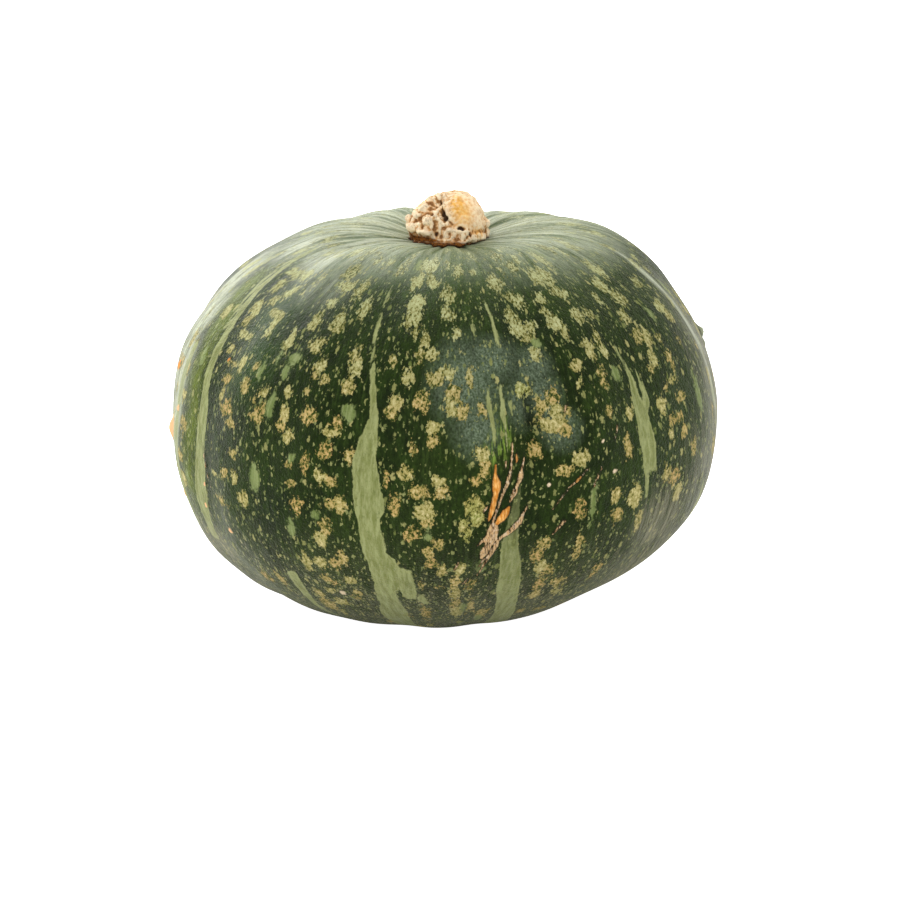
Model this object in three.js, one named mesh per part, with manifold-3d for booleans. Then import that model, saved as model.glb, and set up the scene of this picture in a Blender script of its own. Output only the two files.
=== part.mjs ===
// A kabocha squash: one ribbed fruit and its corky cut stem. Millimetres, +Z up.
// The front of the squash faces -Y. Longitudes are degrees round +Z from +X, so the front is at -90.
import * as THREE from 'three';
import { mergeVertices } from 'three/addons/utils/BufferGeometryUtils.js';
import Module from 'manifold-3d';

// Driving dimensions of the fruit
const GIRTH_RADIUS = 90; // half the widest width
const RISE = 70.5; // from the girth up to where the crown would meet without its basin
const DROP = 68.1; // from the girth down to the blossom end without its basin
const SIDE_POWER = 0.923; // under 1 makes the sides fuller than an ellipse
const CROWN_POWER = 0.925;
const BASE_POWER = 0.952;
const STEM_BASIN = { depth: 10.7, width: 27 };
const BLOSSOM_BASIN = { depth: 5, width: 11 };
const REST_LEVEL = -63.6; // the flat that the fruit has settled on, measured from the girth
const LEAN = 0.02; // sideways drift towards +X for each millimetre up
const RELIEF_RADIUS = 85; // swells and furrows are scaled against this mean radius

// Furrows run from stem to blossom end between the ribs: longitude and depth
const FURROW_HALF_WIDTH = 9.2; // degrees
const FURROWS = [
  [-152, 2.2],
  [-106, 1.0],
  [-73.6, 2.2],
  [-42, 1.0],
  [-5, 1.6],
  [30, 1.4],
  [66, 1.2],
  [102, 1.5],
  [138, 1.2],
  [173, 1.2],
];

// Broad swells and hollows: longitude, latitude, spread in degrees, height
const SWELLS = [
  [5, 55, 22, 2.2],
  [180, 49, 23, -0.5],
  [0, -50, 25, -7.3],
  [180, -47, 23, 3.5],
  [90, 45, 28, -6.1],
  [-90, -48, 33, -4.2],
  [18, 29, 14, -2.5],
  [-10, -14, 20, 1.0],
  [165, 25, 24, 2.1],
  [-73.6, 18, 7, -2.5], // the dimple above the scar
];

// Warts and raised spots: longitude, latitude, half-width across, half-height, how far it stands out
const WARTS = [
  [-171, 0.5, 2.4, 4.2, 1.3],
  [-167, 6.5, 1.2, 1.2, 0.8],
  [-177.5, -12.5, 3.2, 3.6, 0.9],
  [4.5, 21.5, 2.6, 2.4, 2.2],
  [8, 17, 1.5, 1.4, 0.9],
  [46, 8, 1.6, 2.2, 0.9],
  [112, -14, 2.2, 2.6, 1.1],
  [151, 12, 1.3, 1.6, 0.8],
];

// Corky scar on the front: from and to (longitude, latitude), half-width, how far it stands out
const SCABS = [
  [-80.6, 9.4, -80.3, 4.6, 1.3, 1.1],
  [-80.4, 5.2, -80.9, 0.4, 1.7, 1.2],
  [-80.9, 1.0, -81.2, -3.2, 1.1, 0.9],
  [-76.1, 13.6, -77.0, 8.0, 0.7, 0.7],
  [-77.0, 8.6, -79.0, 2.6, 0.8, 0.8],
  [-74.0, 9.8, -75.3, 5.4, 0.8, 0.7],
  [-75.1, 6.2, -76.9, 1.9, 0.9, 0.8],
  [-78.6, 0.6, -77.8, -2.0, 1.8, 1.1],
  [-73.4, 0.2, -75.2, -5.0, 0.9, 0.8],
  [-74.9, -4.2, -78.6, -9.0, 1.0, 0.9],
  [-79.6, -3.4, -80.2, -9.4, 2.1, 1.2],
  [-80.4, -8.8, -82.4, -15.4, 0.9, 0.7],
];

// Driving dimensions of the stem, from the middle of the stem basin's floor
const CONTACT_GAP = 0.3; // between the stem and the skin that it sits on
const STEM_DOMES = [
  { at: [3.4, 0, 5.4], half: [9.6, 10.4, 11.3] }, // the smooth cap, right of the middle
  { at: [-4.6, -0.2, 4.8], half: [9.6, 9.8, 10.0] }, // the knobbly shoulder on the left
  { at: [-0.6, 0.2, 2.6], half: [13.4, 12.4, 2.8] }, // the flared foot
];
const FOOT_KNOBS = { count: 17, reachX: 12.2, reachY: 11.2, level: 3.6, swing: 0.7, size: 2.3 };
const SHOULDER_KNOBS = { count: 9, from: 120, to: 290, reachX: 12.2, reachY: 8.8, level: 7.6, size: 2.1 };

// Facets
const FRUIT_COLUMNS = 76;
const FRUIT_ROWS = 36;
const WART_DETAIL = 1;
const DOME_DETAIL = 4;
const KNOB_DETAIL = 1;

const radians = THREE.MathUtils.degToRad;
const degrees = THREE.MathUtils.radToDeg;

/** A bell that is 1 at zero and fades within about two widths. */
function bell(distance, width) {
  return Math.exp(-((distance / width) ** 2));
}

/** The angle in degrees between two directions given by longitude and latitude. */
function angleBetween(lon, lat, otherLon, otherLat) {
  const cosine = Math.sin(radians(lat)) * Math.sin(radians(otherLat))
    + Math.cos(radians(lat)) * Math.cos(radians(otherLat)) * Math.cos(radians(lon - otherLon));
  return degrees(Math.acos(THREE.MathUtils.clamp(cosine, -1, 1)));
}

/** How far the skin stands out from the plain round body. */
function relief(lon, lat) {
  const fade = lat > 0 ? Math.sqrt(Math.cos(radians(lat))) : Math.cos(radians(lat));
  let height = 0;
  for (const [swellLon, swellLat, spread, amount] of SWELLS) {
    height += amount * bell(angleBetween(lon, lat, swellLon, swellLat), spread);
  }
  for (const [furrowLon, depth] of FURROWS) {
    const turn = THREE.MathUtils.euclideanModulo(lon - furrowLon + 180, 360) - 180;
    height -= depth * bell(turn, FURROW_HALF_WIDTH) * fade;
  }
  return height;
}

/** The point of the skin at a longitude and latitude. */
function skinPoint(lon, lat) {
  const cosine = Math.max(Math.cos(radians(lat)), 0);
  const sine = Math.sin(radians(lat));
  const scale = 1 + relief(lon, lat) / RELIEF_RADIUS;
  const out = GIRTH_RADIUS * cosine ** SIDE_POWER * scale;
  let up;
  if (sine >= 0) {
    up = RISE * sine ** CROWN_POWER * scale - STEM_BASIN.depth * bell(out, STEM_BASIN.width);
  } else {
    up = -DROP * (-sine) ** BASE_POWER * scale + BLOSSOM_BASIN.depth * bell(out, BLOSSOM_BASIN.width);
  }
  up = Math.max(up, REST_LEVEL);
  return new THREE.Vector3(out * Math.cos(radians(lon)) + LEAN * up, out * Math.sin(radians(lon)), up);
}

/** The outward direction of the skin at a longitude and latitude. */
function skinNormal(lon, lat) {
  const step = 0.5;
  const east = skinPoint(lon + step, lat).sub(skinPoint(lon - step, lat));
  const north = skinPoint(lon, lat + step).sub(skinPoint(lon, lat - step));
  return east.cross(north).normalize();
}

/** A round mesh with every point moved onto the skin, lifted off it by a clearance. */
function fruitBody(clearance) {
  const geometry = new THREE.SphereGeometry(1, FRUIT_COLUMNS, FRUIT_ROWS).rotateX(Math.PI / 2);
  const points = geometry.attributes.position;
  const direction = new THREE.Vector3();
  for (let i = 0; i < points.count; i += 1) {
    direction.fromBufferAttribute(points, i);
    const lat = degrees(Math.asin(THREE.MathUtils.clamp(direction.z, -1, 1)));
    const lon = degrees(Math.atan2(direction.y, direction.x));
    const point = skinPoint(lon, lat);
    if (Math.abs(lat) > 89.9) {
      point.copy(skinPoint(0, lat));
      point.z += clearance;
    } else if (clearance > 0) {
      point.addScaledVector(skinNormal(lon, lat), clearance);
    }
    points.setXYZ(i, point.x, point.y, point.z);
  }
  return geometry;
}

/** A rounded lump: a ball stretched to its half sizes along its own axes. */
function lump(detail, centre, half, turn = new THREE.Quaternion()) {
  return new THREE.IcosahedronGeometry(1, detail)
    .scale(...half)
    .applyQuaternion(turn)
    .translate(...centre);
}

/** A wart sits on the skin with its middle on the surface, so half of it is rooted in the flesh. */
function wart([lon, lat, halfAcross, halfAlong, standsOut]) {
  const outward = skinNormal(lon, lat);
  const across = new THREE.Vector3(0, 0, 1).cross(outward).normalize();
  const along = outward.clone().cross(across);
  const turn = new THREE.Quaternion().setFromRotationMatrix(
    new THREE.Matrix4().makeBasis(across, along, outward),
  );
  return lump(WART_DETAIL, skinPoint(lon, lat), [halfAcross, halfAlong, standsOut], turn);
}

/** A scab is a long low lump laid along the skin between two places. */
function scab([fromLon, fromLat, toLon, toLat, halfWidth, standsOut]) {
  const from = skinPoint(fromLon, fromLat);
  const to = skinPoint(toLon, toLat);
  const outward = skinNormal((fromLon + toLon) / 2, (fromLat + toLat) / 2);
  const along = to.clone().sub(from);
  const halfLength = along.length() / 2 + halfWidth / 2;
  along.addScaledVector(outward, -along.dot(outward)).normalize();
  const turn = new THREE.Quaternion().setFromRotationMatrix(
    new THREE.Matrix4().makeBasis(along.clone().cross(outward), along, outward),
  );
  const centre = from.add(to).multiplyScalar(0.5);
  return lump(WART_DETAIL, centre, [halfWidth, halfLength, standsOut], turn);
}

/** The blossom scar: a low button in the basin underneath, above the level that the fruit rests on. */
function blossomScar() {
  const floor = skinPoint(0, -90);
  const height = 1.6;
  const below = 0.8;
  return new THREE.CylinderGeometry(5.2, 4.4, height, 14)
    .rotateX(Math.PI / 2)
    .translate(floor.x, floor.y, floor.z - below + height / 2);
}

/** Knobs in a bent row round the stem. Their sizes and levels follow a fixed wave, so none are alike. */
function knobRow({ count, from = 0, to = 360, reachX, reachY, level, swing = 0.5, size }) {
  const knobs = [];
  for (let i = 0; i < count; i += 1) {
    const angle = radians(from + ((to - from) * i) / count);
    const wave = Math.sin(2.4 * i + 0.7);
    const half = size * (1 + 0.22 * wave);
    const centre = [reachX * Math.cos(angle), reachY * Math.sin(angle), level + swing * Math.cos(1.9 * i)];
    knobs.push(lump(KNOB_DETAIL, centre, [half, half, half * 1.15]));
  }
  return knobs;
}

const wasm = await Module();
wasm.setup();

/** A closed three.js mesh as a solid that can be joined and cut. */
function solidOf(geometry) {
  geometry.deleteAttribute('normal');
  geometry.deleteAttribute('uv');
  const merged = mergeVertices(geometry);
  return new wasm.Manifold(new wasm.Mesh({
    numProp: 3,
    vertProperties: Float32Array.from(merged.attributes.position.array),
    triVerts: Uint32Array.from(merged.index.array),
  }));
}

/** A solid back as a three.js mesh. */
function geometryOf(solid) {
  const mesh = solid.getMesh();
  const geometry = new THREE.BufferGeometry();
  geometry.setAttribute('position', new THREE.BufferAttribute(Float32Array.from(mesh.vertProperties), 3));
  geometry.setIndex(new THREE.BufferAttribute(Uint32Array.from(mesh.triVerts), 1));
  geometry.computeVertexNormals();
  return geometry;
}

function joined(geometries) {
  return geometries.map(solidOf).reduce((whole, next) => whole.add(next));
}

function makeFruit() {
  const geometry = geometryOf(joined([
    fruitBody(0),
    ...WARTS.map(wart),
    ...SCABS.map(scab),
    blossomScar(),
  ]));
  const material = new THREE.MeshStandardMaterial({ color: 0x2f4426, roughness: 0.55, metalness: 0 });
  const fruit = new THREE.Mesh(geometry, material);
  fruit.name = 'fruit';
  return fruit;
}

function makeStem() {
  const foot = skinPoint(0, 90);
  const lumps = [
    ...STEM_DOMES.map(({ at, half }) => lump(DOME_DETAIL, at, half)),
    ...knobRow(FOOT_KNOBS),
    ...knobRow(SHOULDER_KNOBS),
  ];
  const cork = joined(lumps.map((piece) => piece.translate(foot.x, foot.y, foot.z)));
  const geometry = geometryOf(cork.subtract(solidOf(fruitBody(CONTACT_GAP))));
  const material = new THREE.MeshStandardMaterial({ color: 0xd9b070, roughness: 0.85, metalness: 0 });
  const stem = new THREE.Mesh(geometry, material);
  stem.name = 'stem';
  return stem;
}

const squash = new THREE.Group();
squash.name = 'kabocha_squash';
squash.add(makeFruit(), makeStem());

// The origin goes to the middle of the box's underside, on the surface that the squash rests on
const box = new THREE.Box3().setFromObject(squash, true);
const middle = box.getCenter(new THREE.Vector3());
squash.position.set(-middle.x, -middle.y, -box.min.z);

export default squash;
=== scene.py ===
# %% [markdown]
# # A kabocha squash
#
# A kabocha is a squat winter squash: a hard, waxy, dark-green rind over shallow ribs, spotted with
# corky tan blotches and sage-green stripes, with the dry stub of its stem sunk in the crown.
# The solid model already says how big it is and where it sits. This lesson builds the fine surface
# of the same shape, then its markings and finishes, and lights it softly.
#
# Everything here is in millimetres until a mesh is made, because that is how one thinks about a
# fruit that fits in two hands. Blender itself gets metres.

# %% Load the frame
import math

import bmesh
import bpy
import mathutils
import numpy as np
from mathutils.bvhtree import BVHTree
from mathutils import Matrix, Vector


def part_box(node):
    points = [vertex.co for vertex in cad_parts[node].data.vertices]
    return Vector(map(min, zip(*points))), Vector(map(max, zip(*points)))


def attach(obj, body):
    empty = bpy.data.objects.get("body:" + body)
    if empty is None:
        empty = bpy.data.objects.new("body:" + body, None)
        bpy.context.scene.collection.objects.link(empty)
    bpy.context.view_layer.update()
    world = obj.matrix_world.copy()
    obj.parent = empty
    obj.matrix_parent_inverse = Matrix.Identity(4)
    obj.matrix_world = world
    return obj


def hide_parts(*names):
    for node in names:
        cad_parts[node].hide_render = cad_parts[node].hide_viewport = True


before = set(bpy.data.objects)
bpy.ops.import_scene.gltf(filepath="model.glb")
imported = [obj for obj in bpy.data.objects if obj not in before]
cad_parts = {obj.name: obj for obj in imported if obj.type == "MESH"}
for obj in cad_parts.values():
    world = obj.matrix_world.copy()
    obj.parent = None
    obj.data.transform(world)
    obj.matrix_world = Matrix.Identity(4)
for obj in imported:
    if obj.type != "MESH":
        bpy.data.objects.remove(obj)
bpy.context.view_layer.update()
MM = 0.001  # one millimetre in metres
fruit_low, fruit_high = (np.array(corner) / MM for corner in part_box("fruit"))
print("fruit box, mm:", fruit_low.round(1), fruit_high.round(1))

# %% [markdown]
# ## The shape of the fruit
#
# A squash grows from one formula: every point of its skin has a longitude round the stem and a
# latitude up from the girth. A sculpted blob would look as good from one side only, and a plain
# sphere with ribs would miss the lean and the flattened base, so the formula carries them:
# powers of sine and cosine set how full the section is, broad swells bend it, furrows part the
# ribs, and two bells sink the basins at the stem and the blossom end.

# %% Driving sizes, in millimetres and degrees
GIRTH_RADIUS = 90
RISE = 70.5  # from the girth up to where the crown would meet without its basin
DROP = 68.1  # from the girth down to the blossom end without its basin
SIDE_POWER = 0.923  # a power under 1 makes the section fuller than an ellipse
CROWN_POWER = 0.925
BASE_POWER = 0.952
STEM_BASIN = (10.7, 27)  # depth, width
BLOSSOM_BASIN = (5, 11)
REST_LEVEL = -63.6  # the flat ring underneath, from the girth
LEAN = 0.02  # sideways for each millimetre up
RELIEF_RADIUS = 85  # relief in millimetres is a share of this distance from the middle
FURROW_HALF_WIDTH = 9.2
FURROWS = [
    (-152, 2.2), (-106, 1.0), (-73.6, 2.2), (-42, 1.0), (-5, 1.6),
    (30, 1.4), (66, 1.2), (102, 1.5), (138, 1.2), (173, 1.2),
]  # longitude, depth
SWELLS = [
    (5, 55, 22, 2.2), (180, 49, 23, -0.5), (0, -50, 25, -7.3), (180, -47, 23, 3.5),
    (90, 45, 28, -6.1), (-90, -48, 33, -4.2), (18, 29, 14, -2.5), (-10, -14, 20, 1.0),
    (165, 25, 24, 2.1), (-73.6, 18, 7, -2.5),
]  # longitude, latitude, spread, height
print("girth, mm:", 2 * GIRTH_RADIUS, "ribs:", len(FURROWS))


# %% Helpers on the globe
def bell(distance, width):
    return np.exp(-((distance / width) ** 2))


def turn_between(lon, other):
    """The signed turn in degrees from one longitude to another, the short way round."""
    return (lon - other + 180) % 360 - 180


def angle_between(lon, lat, other_lon, other_lat):
    """The angle in degrees between two directions from the middle of the fruit."""
    lat, other_lat = np.radians(lat), np.radians(other_lat)
    across = np.cos(lat) * np.cos(other_lat) * np.cos(np.radians(lon - other_lon))
    return np.degrees(np.arccos(np.clip(np.sin(lat) * np.sin(other_lat) + across, -1, 1)))


def broad_relief(lon, lat):
    """How far the skin stands out from the plain round body: swells and furrows."""
    cosine = np.maximum(np.cos(np.radians(lat)), 0)
    fade = np.where(lat > 0, np.sqrt(cosine), cosine)
    height = np.zeros_like(lon)
    for swell_lon, swell_lat, spread, amount in SWELLS:
        height += amount * bell(angle_between(lon, lat, swell_lon, swell_lat), spread)
    for furrow_lon, depth in FURROWS:
        height -= depth * bell(turn_between(lon, furrow_lon), FURROW_HALF_WIDTH) * fade
    return height


def skin_point(lon, lat, extra=0.0):
    """The point of the skin at a longitude and latitude, with any finer relief added outward."""
    lon, lat = np.broadcast_arrays(np.asarray(lon, float), np.asarray(lat, float))
    cosine = np.maximum(np.cos(np.radians(lat)), 0)
    sine = np.sin(np.radians(lat))
    scale = 1 + (broad_relief(lon, lat) + extra) / RELIEF_RADIUS
    out = GIRTH_RADIUS * cosine**SIDE_POWER * scale
    crown = RISE * np.abs(sine) ** CROWN_POWER * scale - STEM_BASIN[0] * bell(out, STEM_BASIN[1])
    base = -DROP * np.abs(sine) ** BASE_POWER * scale + BLOSSOM_BASIN[0] * bell(out, BLOSSOM_BASIN[1])
    up = np.maximum(np.where(sine >= 0, crown, base), REST_LEVEL)
    turn = np.radians(lon)
    return np.stack([out * np.cos(turn) + LEAN * up, out * np.sin(turn), up], axis=-1)


crown_floor = skin_point(0, 90)
print("stem basin floor, mm from the girth's middle:", crown_floor.round(2))

# %% [markdown]
# ## Measuring along the skin
#
# Spots, scabs and stripes are drawn in millimetres, so the skin needs a ruler. Across, a degree of
# longitude is shorter near the poles. Along, the length of one average rib is added up once from
# pole to pole, and any latitude is then looked up on it.

# %% A ruler along a rib
rib_lats = np.linspace(-90, 90, 1441)
rib_line = skin_point(-30, rib_lats)
rib_steps = np.linalg.norm(np.diff(rib_line, axis=0), axis=1)
rib_lengths = np.concatenate([[0], np.cumsum(rib_steps)])
rib_lengths -= np.interp(0, rib_lats, rib_lengths)


def along_mm(lat):
    """How far up the rib a latitude is, from the girth."""
    return np.interp(lat, rib_lats, rib_lengths)


def ring_radius(lat):
    """Radius of the round body at a latitude, kept just above zero at the poles."""
    return GIRTH_RADIUS * np.maximum(np.cos(np.radians(lat)), 0.02) ** SIDE_POWER


def offset_mm(lon, lat, from_lon, from_lat):
    """How far across and along the skin a place is from another, in millimetres."""
    across = np.radians(turn_between(lon, from_lon)) * ring_radius(from_lat)
    return across, along_mm(lat) - along_mm(from_lat)


print("rib length from pole to pole, mm:", round(rib_steps.sum(), 1))

# %% [markdown]
# ## Small relief
#
# Warts, the corky scar on the front, the fold beside the dimple, the wrinkles round the stem and
# the button where the blossom fell off are too fine for the big formula. They could be bump in the
# material, but then the outline and the mesh itself would miss them. They are added to the
# height of the skin instead, and the grid is made closer where they lie.

# %% Warts
WART_STEEPNESS = 1.2
WARTS = [
    (-171, 0.5, 2.6, 4.2, 1.8), (-167, 6.5, 1.2, 1.2, 0.8), (-177.5, -12.5, 3.2, 3.6, 0.9),
    (-173, 15.5, 1.4, 1.8, 0.8), (-166.5, -15.5, 1.2, 1.6, 0.6), (-154.2, -14.6, 0.8, 1.0, 0.4),
    (4.5, 21.5, 1.9, 2.0, 1.7), (8, 17, 1.5, 1.4, 0.7), (46, 8, 1.6, 2.2, 0.9),
    (112, -14, 2.2, 2.6, 1.1), (151, 12, 1.3, 1.6, 0.8), (-150.4, 25.4, 0.8, 0.7, 0.5),
    (-152.7, -7.8, 0.9, 0.8, 0.4), (-143.2, -17.6, 1.5, 1.0, 0.5), (-54.5, 3.9, 0.8, 0.8, 0.4),
    (-69.2, 3.0, 0.7, 0.7, 0.3), (-57.2, 11.6, 0.7, 0.7, 0.3), (-115.5, -32.6, 0.9, 1.7, 0.4),
]  # longitude, latitude, half-width, half-height, how far it stands out


def wart_cover(lon, lat):
    """Height in mm and a 0 to 1 mask of the warts."""
    height = np.zeros_like(lon)
    mask = np.zeros_like(lon)
    for wart_lon, wart_lat, half_across, half_along, stands_out in WARTS:
        across, along = offset_mm(lon, lat, wart_lon, wart_lat)
        reach = np.hypot(across / half_across, along / half_along)
        height = np.maximum(height, stands_out * np.exp(-(reach**2) * WART_STEEPNESS))
        mask = np.maximum(mask, np.clip(1.6 - reach, 0, 1))
    return height, mask


print("warts:", len(WARTS), "the tallest stands out by", max(wart[-1] for wart in WARTS), "mm")

# %% The corky scar, drawn as brush strokes
ORANGE_SCABS = [
    [(-80.4, 8.9, 0.3), (-80.55, 6.8, 0.5), (-80.3, 4.6, 1.45), (-80.3, 3.4, 1.4), (-80.35, 2.0, 0.85),
     (-80.8, -0.2, 0.95), (-81.2, -2.3, 0.85), (-81.6, -4.2, 0.25)],
    [(-77.5, -1.1, 0.5), (-78.2, -2.4, 1.35), (-78.9, -3.6, 1.4), (-79.7, -4.8, 0.9)],
    [(-75.9, 11.0, 0.25), (-75.8, 9.8, 0.45), (-76.0, 9.0, 0.2)],
    [(-62.4, 4.2, 0.3), (-63.4, 3.2, 0.55)],
]
BROWN_SCABS = [
    [(-76.5, 13.7, 0.15), (-77.2, 7.6, 0.3), (-77.8, 4.7, 0.6), (-79.0, 1.6, 0.32), (-79.8, -1.0, 0.35),
     (-80.8, -4.9, 0.4), (-81.5, -7.2, 0.6)],
    [(-74.1, 9.9, 0.2), (-74.8, 7.3, 0.35), (-75.3, 5.2, 0.8), (-75.8, 3.8, 0.4), (-76.4, 2.1, 0.75),
     (-77.3, 0.2, 0.3)],
    [(-80.1, -4.9, 0.6), (-80.5, -6.6, 1.6), (-81.0, -9.2, 2.0), (-81.4, -11.4, 1.2), (-82.1, -13.2, 1.3),
     (-82.7, -15.4, 0.3)],
    [(-81.4, -8.0, 0.7), (-82.7, -9.9, 0.5), (-83.7, -11.2, 0.15)],
    [(-79.2, -9.8, 0.5), (-77.3, -8.3, 0.65), (-76.0, -6.7, 1.0), (-74.9, -5.1, 0.75), (-74.3, -3.2, 0.3),
     (-73.5, -1.2, 0.12)],
    [(-79.2, -9.6, 0.5), (-79.8, -12.0, 0.8), (-80.9, -14.6, 0.75), (-81.5, -16.6, 0.35),
     (-83.3, -21.8, 0.15)],
    [(-82.0, -15.4, 0.25), (-83.2, -18.6, 0.15)], [(-78.2, 9.4, 0.32), (-78.4, 8.0, 0.12)],
    [(-82.0, -0.5, 0.3), (-82.7, -1.6, 0.15)], [(-87.4, -16.2, 0.25), (-88.2, -18.8, 0.2)],
    [(-85.2, -22.6, 0.3), (-86.2, -24.6, 0.15)],
    [(-60.7, 6.0, 0.12), (-63.0, 3.6, 0.3), (-65.0, 1.8, 0.2), (-68.2, -2.8, 0.12)],
    [(-57.8, 5.6, 0.15), (-59.0, 3.0, 0.35), (-60.0, 0.8, 0.2)],
    [(-65.6, -6.2, 0.5), (-66.6, -8.0, 0.4), (-67.7, -9.8, 0.15)],
    [(-64.2, 22.4, 0.25), (-65.2, 19.6, 0.12)], [(-53.0, 14.6, 0.3), (-54.0, 11.2, 0.15)],
    [(-152.6, 1.8, 0.2), (-151.2, -1.8, 0.45), (-150.2, -5.0, 0.3), (-149.6, -7.6, 0.15)],
]  # longitude, latitude and half-width in mm at each knot of a stroke
SCAB_RISE = 0.25  # of the thinnest stroke
SCAB_RISE_SHARE = 0.6  # more for each millimetre of half-width
FAR_OUTSIDE = -9.0  # the signed distance where no mark is near


def stroke_distance(lon, lat, from_lon, from_lat, to_lon, to_lat):
    """Distance in mm from a straight stroke between two places, and how far along it that is."""
    across, along = offset_mm(lon, lat, from_lon, from_lat)
    end_across, end_along = offset_mm(np.array(to_lon), np.array(to_lat), from_lon, from_lat)
    length_squared = end_across**2 + end_along**2
    share = np.clip((across * end_across + along * end_along) / length_squared, 0, 1)
    return np.hypot(across - share * end_across, along - share * end_along), share


def scab_cover(lon, lat, strokes):
    """Height in mm and signed cover in mm, above zero on the scar."""
    height = np.zeros_like(lon)
    cover = np.full_like(lon, FAR_OUTSIDE)
    for knots in strokes:
        for (from_lon, from_lat, from_half), (to_lon, to_lat, to_half) in zip(knots, knots[1:]):
            distance, share = stroke_distance(lon, lat, from_lon, from_lat, to_lon, to_lat)
            half_width = from_half + (to_half - from_half) * share
            rise = SCAB_RISE + SCAB_RISE_SHARE * half_width
            height = np.maximum(height, rise * bell(distance, half_width * 1.15))
            cover = np.maximum(cover, half_width - distance)
    return height, cover


print("strokes of the scar:", len(ORANGE_SCABS), "orange,", len(BROWN_SCABS), "brown")

# %% Fold, button, lumps and crown wrinkles
FOLD = [(-72.9, 25.5, -71.7, 18.5), (-71.7, 18.5, -73.4, 8)]  # a fold beside the dimple, with painted shade along it
FOLD_DEPTH = 1.1
FOLD_WIDTH = 1.5
BUTTON_RADIUS = 4.2  # the blossom's corky scar underneath
BUTTON_RISE = 0.9
BUTTON_SLOPE = 1.5
LOCAL_SWELLS = [
    (116, 69, 1.6, 10), (-70.0, 32.0, 0.8, 3.8), (-68.6, 27.2, 0.8, 3.2),
]  # behind the stem, and beside the dimple: longitude, latitude, rise, half-width
LUMP_WAVES = 14
LUMP_HEIGHT = 0.075
WRINKLES = 26
WRINKLE_WIDTH = 3.6  # degrees
random = np.random.default_rng(7)
lump_turns = random.normal(size=(LUMP_WAVES, 3))
lump_turns /= np.linalg.norm(lump_turns, axis=1)[:, None]
lump_lengths = random.uniform(16, 42, LUMP_WAVES)
lump_phases = random.uniform(0, 2 * math.pi, LUMP_WAVES)
wrinkle_lons = np.arange(WRINKLES) * 360 / WRINKLES + random.uniform(-4, 4, WRINKLES)
wrinkle_depths = random.uniform(0.3, 1.3, WRINKLES)
wrinkle_reach = random.uniform(48, 66, WRINKLES)


def wrinkle_depth(lon, lat):
    """Depth in mm of the wrinkles that gather the skin round the stem."""
    depth_here = np.zeros_like(lon)
    for wrinkle_lon, depth, reach in zip(wrinkle_lons, wrinkle_depths, wrinkle_reach):
        groove = bell(turn_between(lon, wrinkle_lon), WRINKLE_WIDTH)
        depth_here += depth * groove * np.clip((lat - reach) / 16, 0, 1) * np.clip((89 - lat) / 4, 0, 1)
    return depth_here


def small_relief(lon, lat):
    """What stands about a millimetre out of the broad shape, or sinks into it."""
    plain = skin_point(lon, lat)
    height = -wrinkle_depth(lon, lat)
    for swell_lon, swell_lat, rise, half_width in LOCAL_SWELLS:
        height += rise * bell(np.hypot(*offset_mm(lon, lat, swell_lon, swell_lat)), half_width)
    for turn, length, phase in zip(lump_turns, lump_lengths, lump_phases):
        height += LUMP_HEIGHT * np.sin(2 * math.pi * (plain @ turn) / length + phase)
    for stroke in FOLD:
        height -= FOLD_DEPTH * bell(stroke_distance(lon, lat, *stroke)[0], FOLD_WIDTH)
    from_pole = along_mm(lat) - along_mm(-90)
    return height + BUTTON_RISE * np.clip((BUTTON_RADIUS - from_pole) / BUTTON_SLOPE, 0, 1)


print("deepest wrinkle, mm:", wrinkle_depths.max().round(2))

# %% [markdown]
# ## The skin's grid
#
# A globe of evenly spaced lines would waste faces on the plain back and starve the scar. The
# lines are spaced by a weight instead: where the weight is larger, they lie closer together.

# %% Lines of the grid
COLUMNS = 520
ROWS = 182
POLE_GAP = 0.6  # degrees from the last ring to the pole
SUM_STEPS = 6000
SCAR_LON = -78.5


def weighted_steps(low, high, count, weight):
    """Steps from low to high that lie closer together where the weight is larger."""
    fine = np.linspace(low, high, SUM_STEPS)
    share = np.cumsum(weight(fine))
    share = (share - share[0]) / (share[-1] - share[0])
    return np.interp(np.linspace(0, 1, count), share, fine)


def column_weight(lon):
    return 1 + 4.0 * bell(turn_between(lon, SCAR_LON), 8)


def row_weight(lat):
    return 1 + 1.7 * bell(lat, 13) + 0.9 * bell(lat - 88, 14)


column_lons = weighted_steps(-180, 180, COLUMNS + 1, column_weight)[:-1]
row_lats = weighted_steps(POLE_GAP - 90, 90 - POLE_GAP, ROWS, row_weight)
print("finest step, degrees:", np.diff(column_lons).min().round(2), np.diff(row_lats).min().round(2))


# %% Build the mesh
def closed_grid_faces(rows, columns):
    """Quads between the rings, then a fan of triangles at each pole."""
    ring = np.arange(columns)
    after = (ring + 1) % columns
    quads = []
    for row in range(rows - 1):
        low, high = row * columns, (row + 1) * columns
        quads.append(np.stack([low + ring, low + after, high + after, high + ring], axis=1))
    south, north = rows * columns, rows * columns + 1
    top = (rows - 1) * columns
    fans = [(south, int(b), int(a)) for a, b in zip(ring, after)]
    fans += [(north, int(top + a), int(top + b)) for a, b in zip(ring, after)]
    return [tuple(map(int, quad)) for quad in np.concatenate(quads)] + fans


lat_grid, lon_grid = np.meshgrid(row_lats, column_lons, indexing="ij")
skin_lon = np.concatenate([lon_grid.ravel(), [0.0, 0.0]])
skin_lat = np.concatenate([lat_grid.ravel(), [-90.0, 90.0]])
wart_height, wart_mask = wart_cover(skin_lon, skin_lat)
orange_height, orange_mm = scab_cover(skin_lon, skin_lat, ORANGE_SCABS)
brown_height, brown_mm = scab_cover(skin_lon, skin_lat, BROWN_SCABS)
fine_height = small_relief(skin_lon, skin_lat) + wart_height + np.maximum(orange_height, brown_height)
skin_mm = skin_point(skin_lon, skin_lat, fine_height)
skin_faces = closed_grid_faces(ROWS, COLUMNS)
print("skin:", len(skin_mm), "points,", len(skin_faces), "faces")

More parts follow.
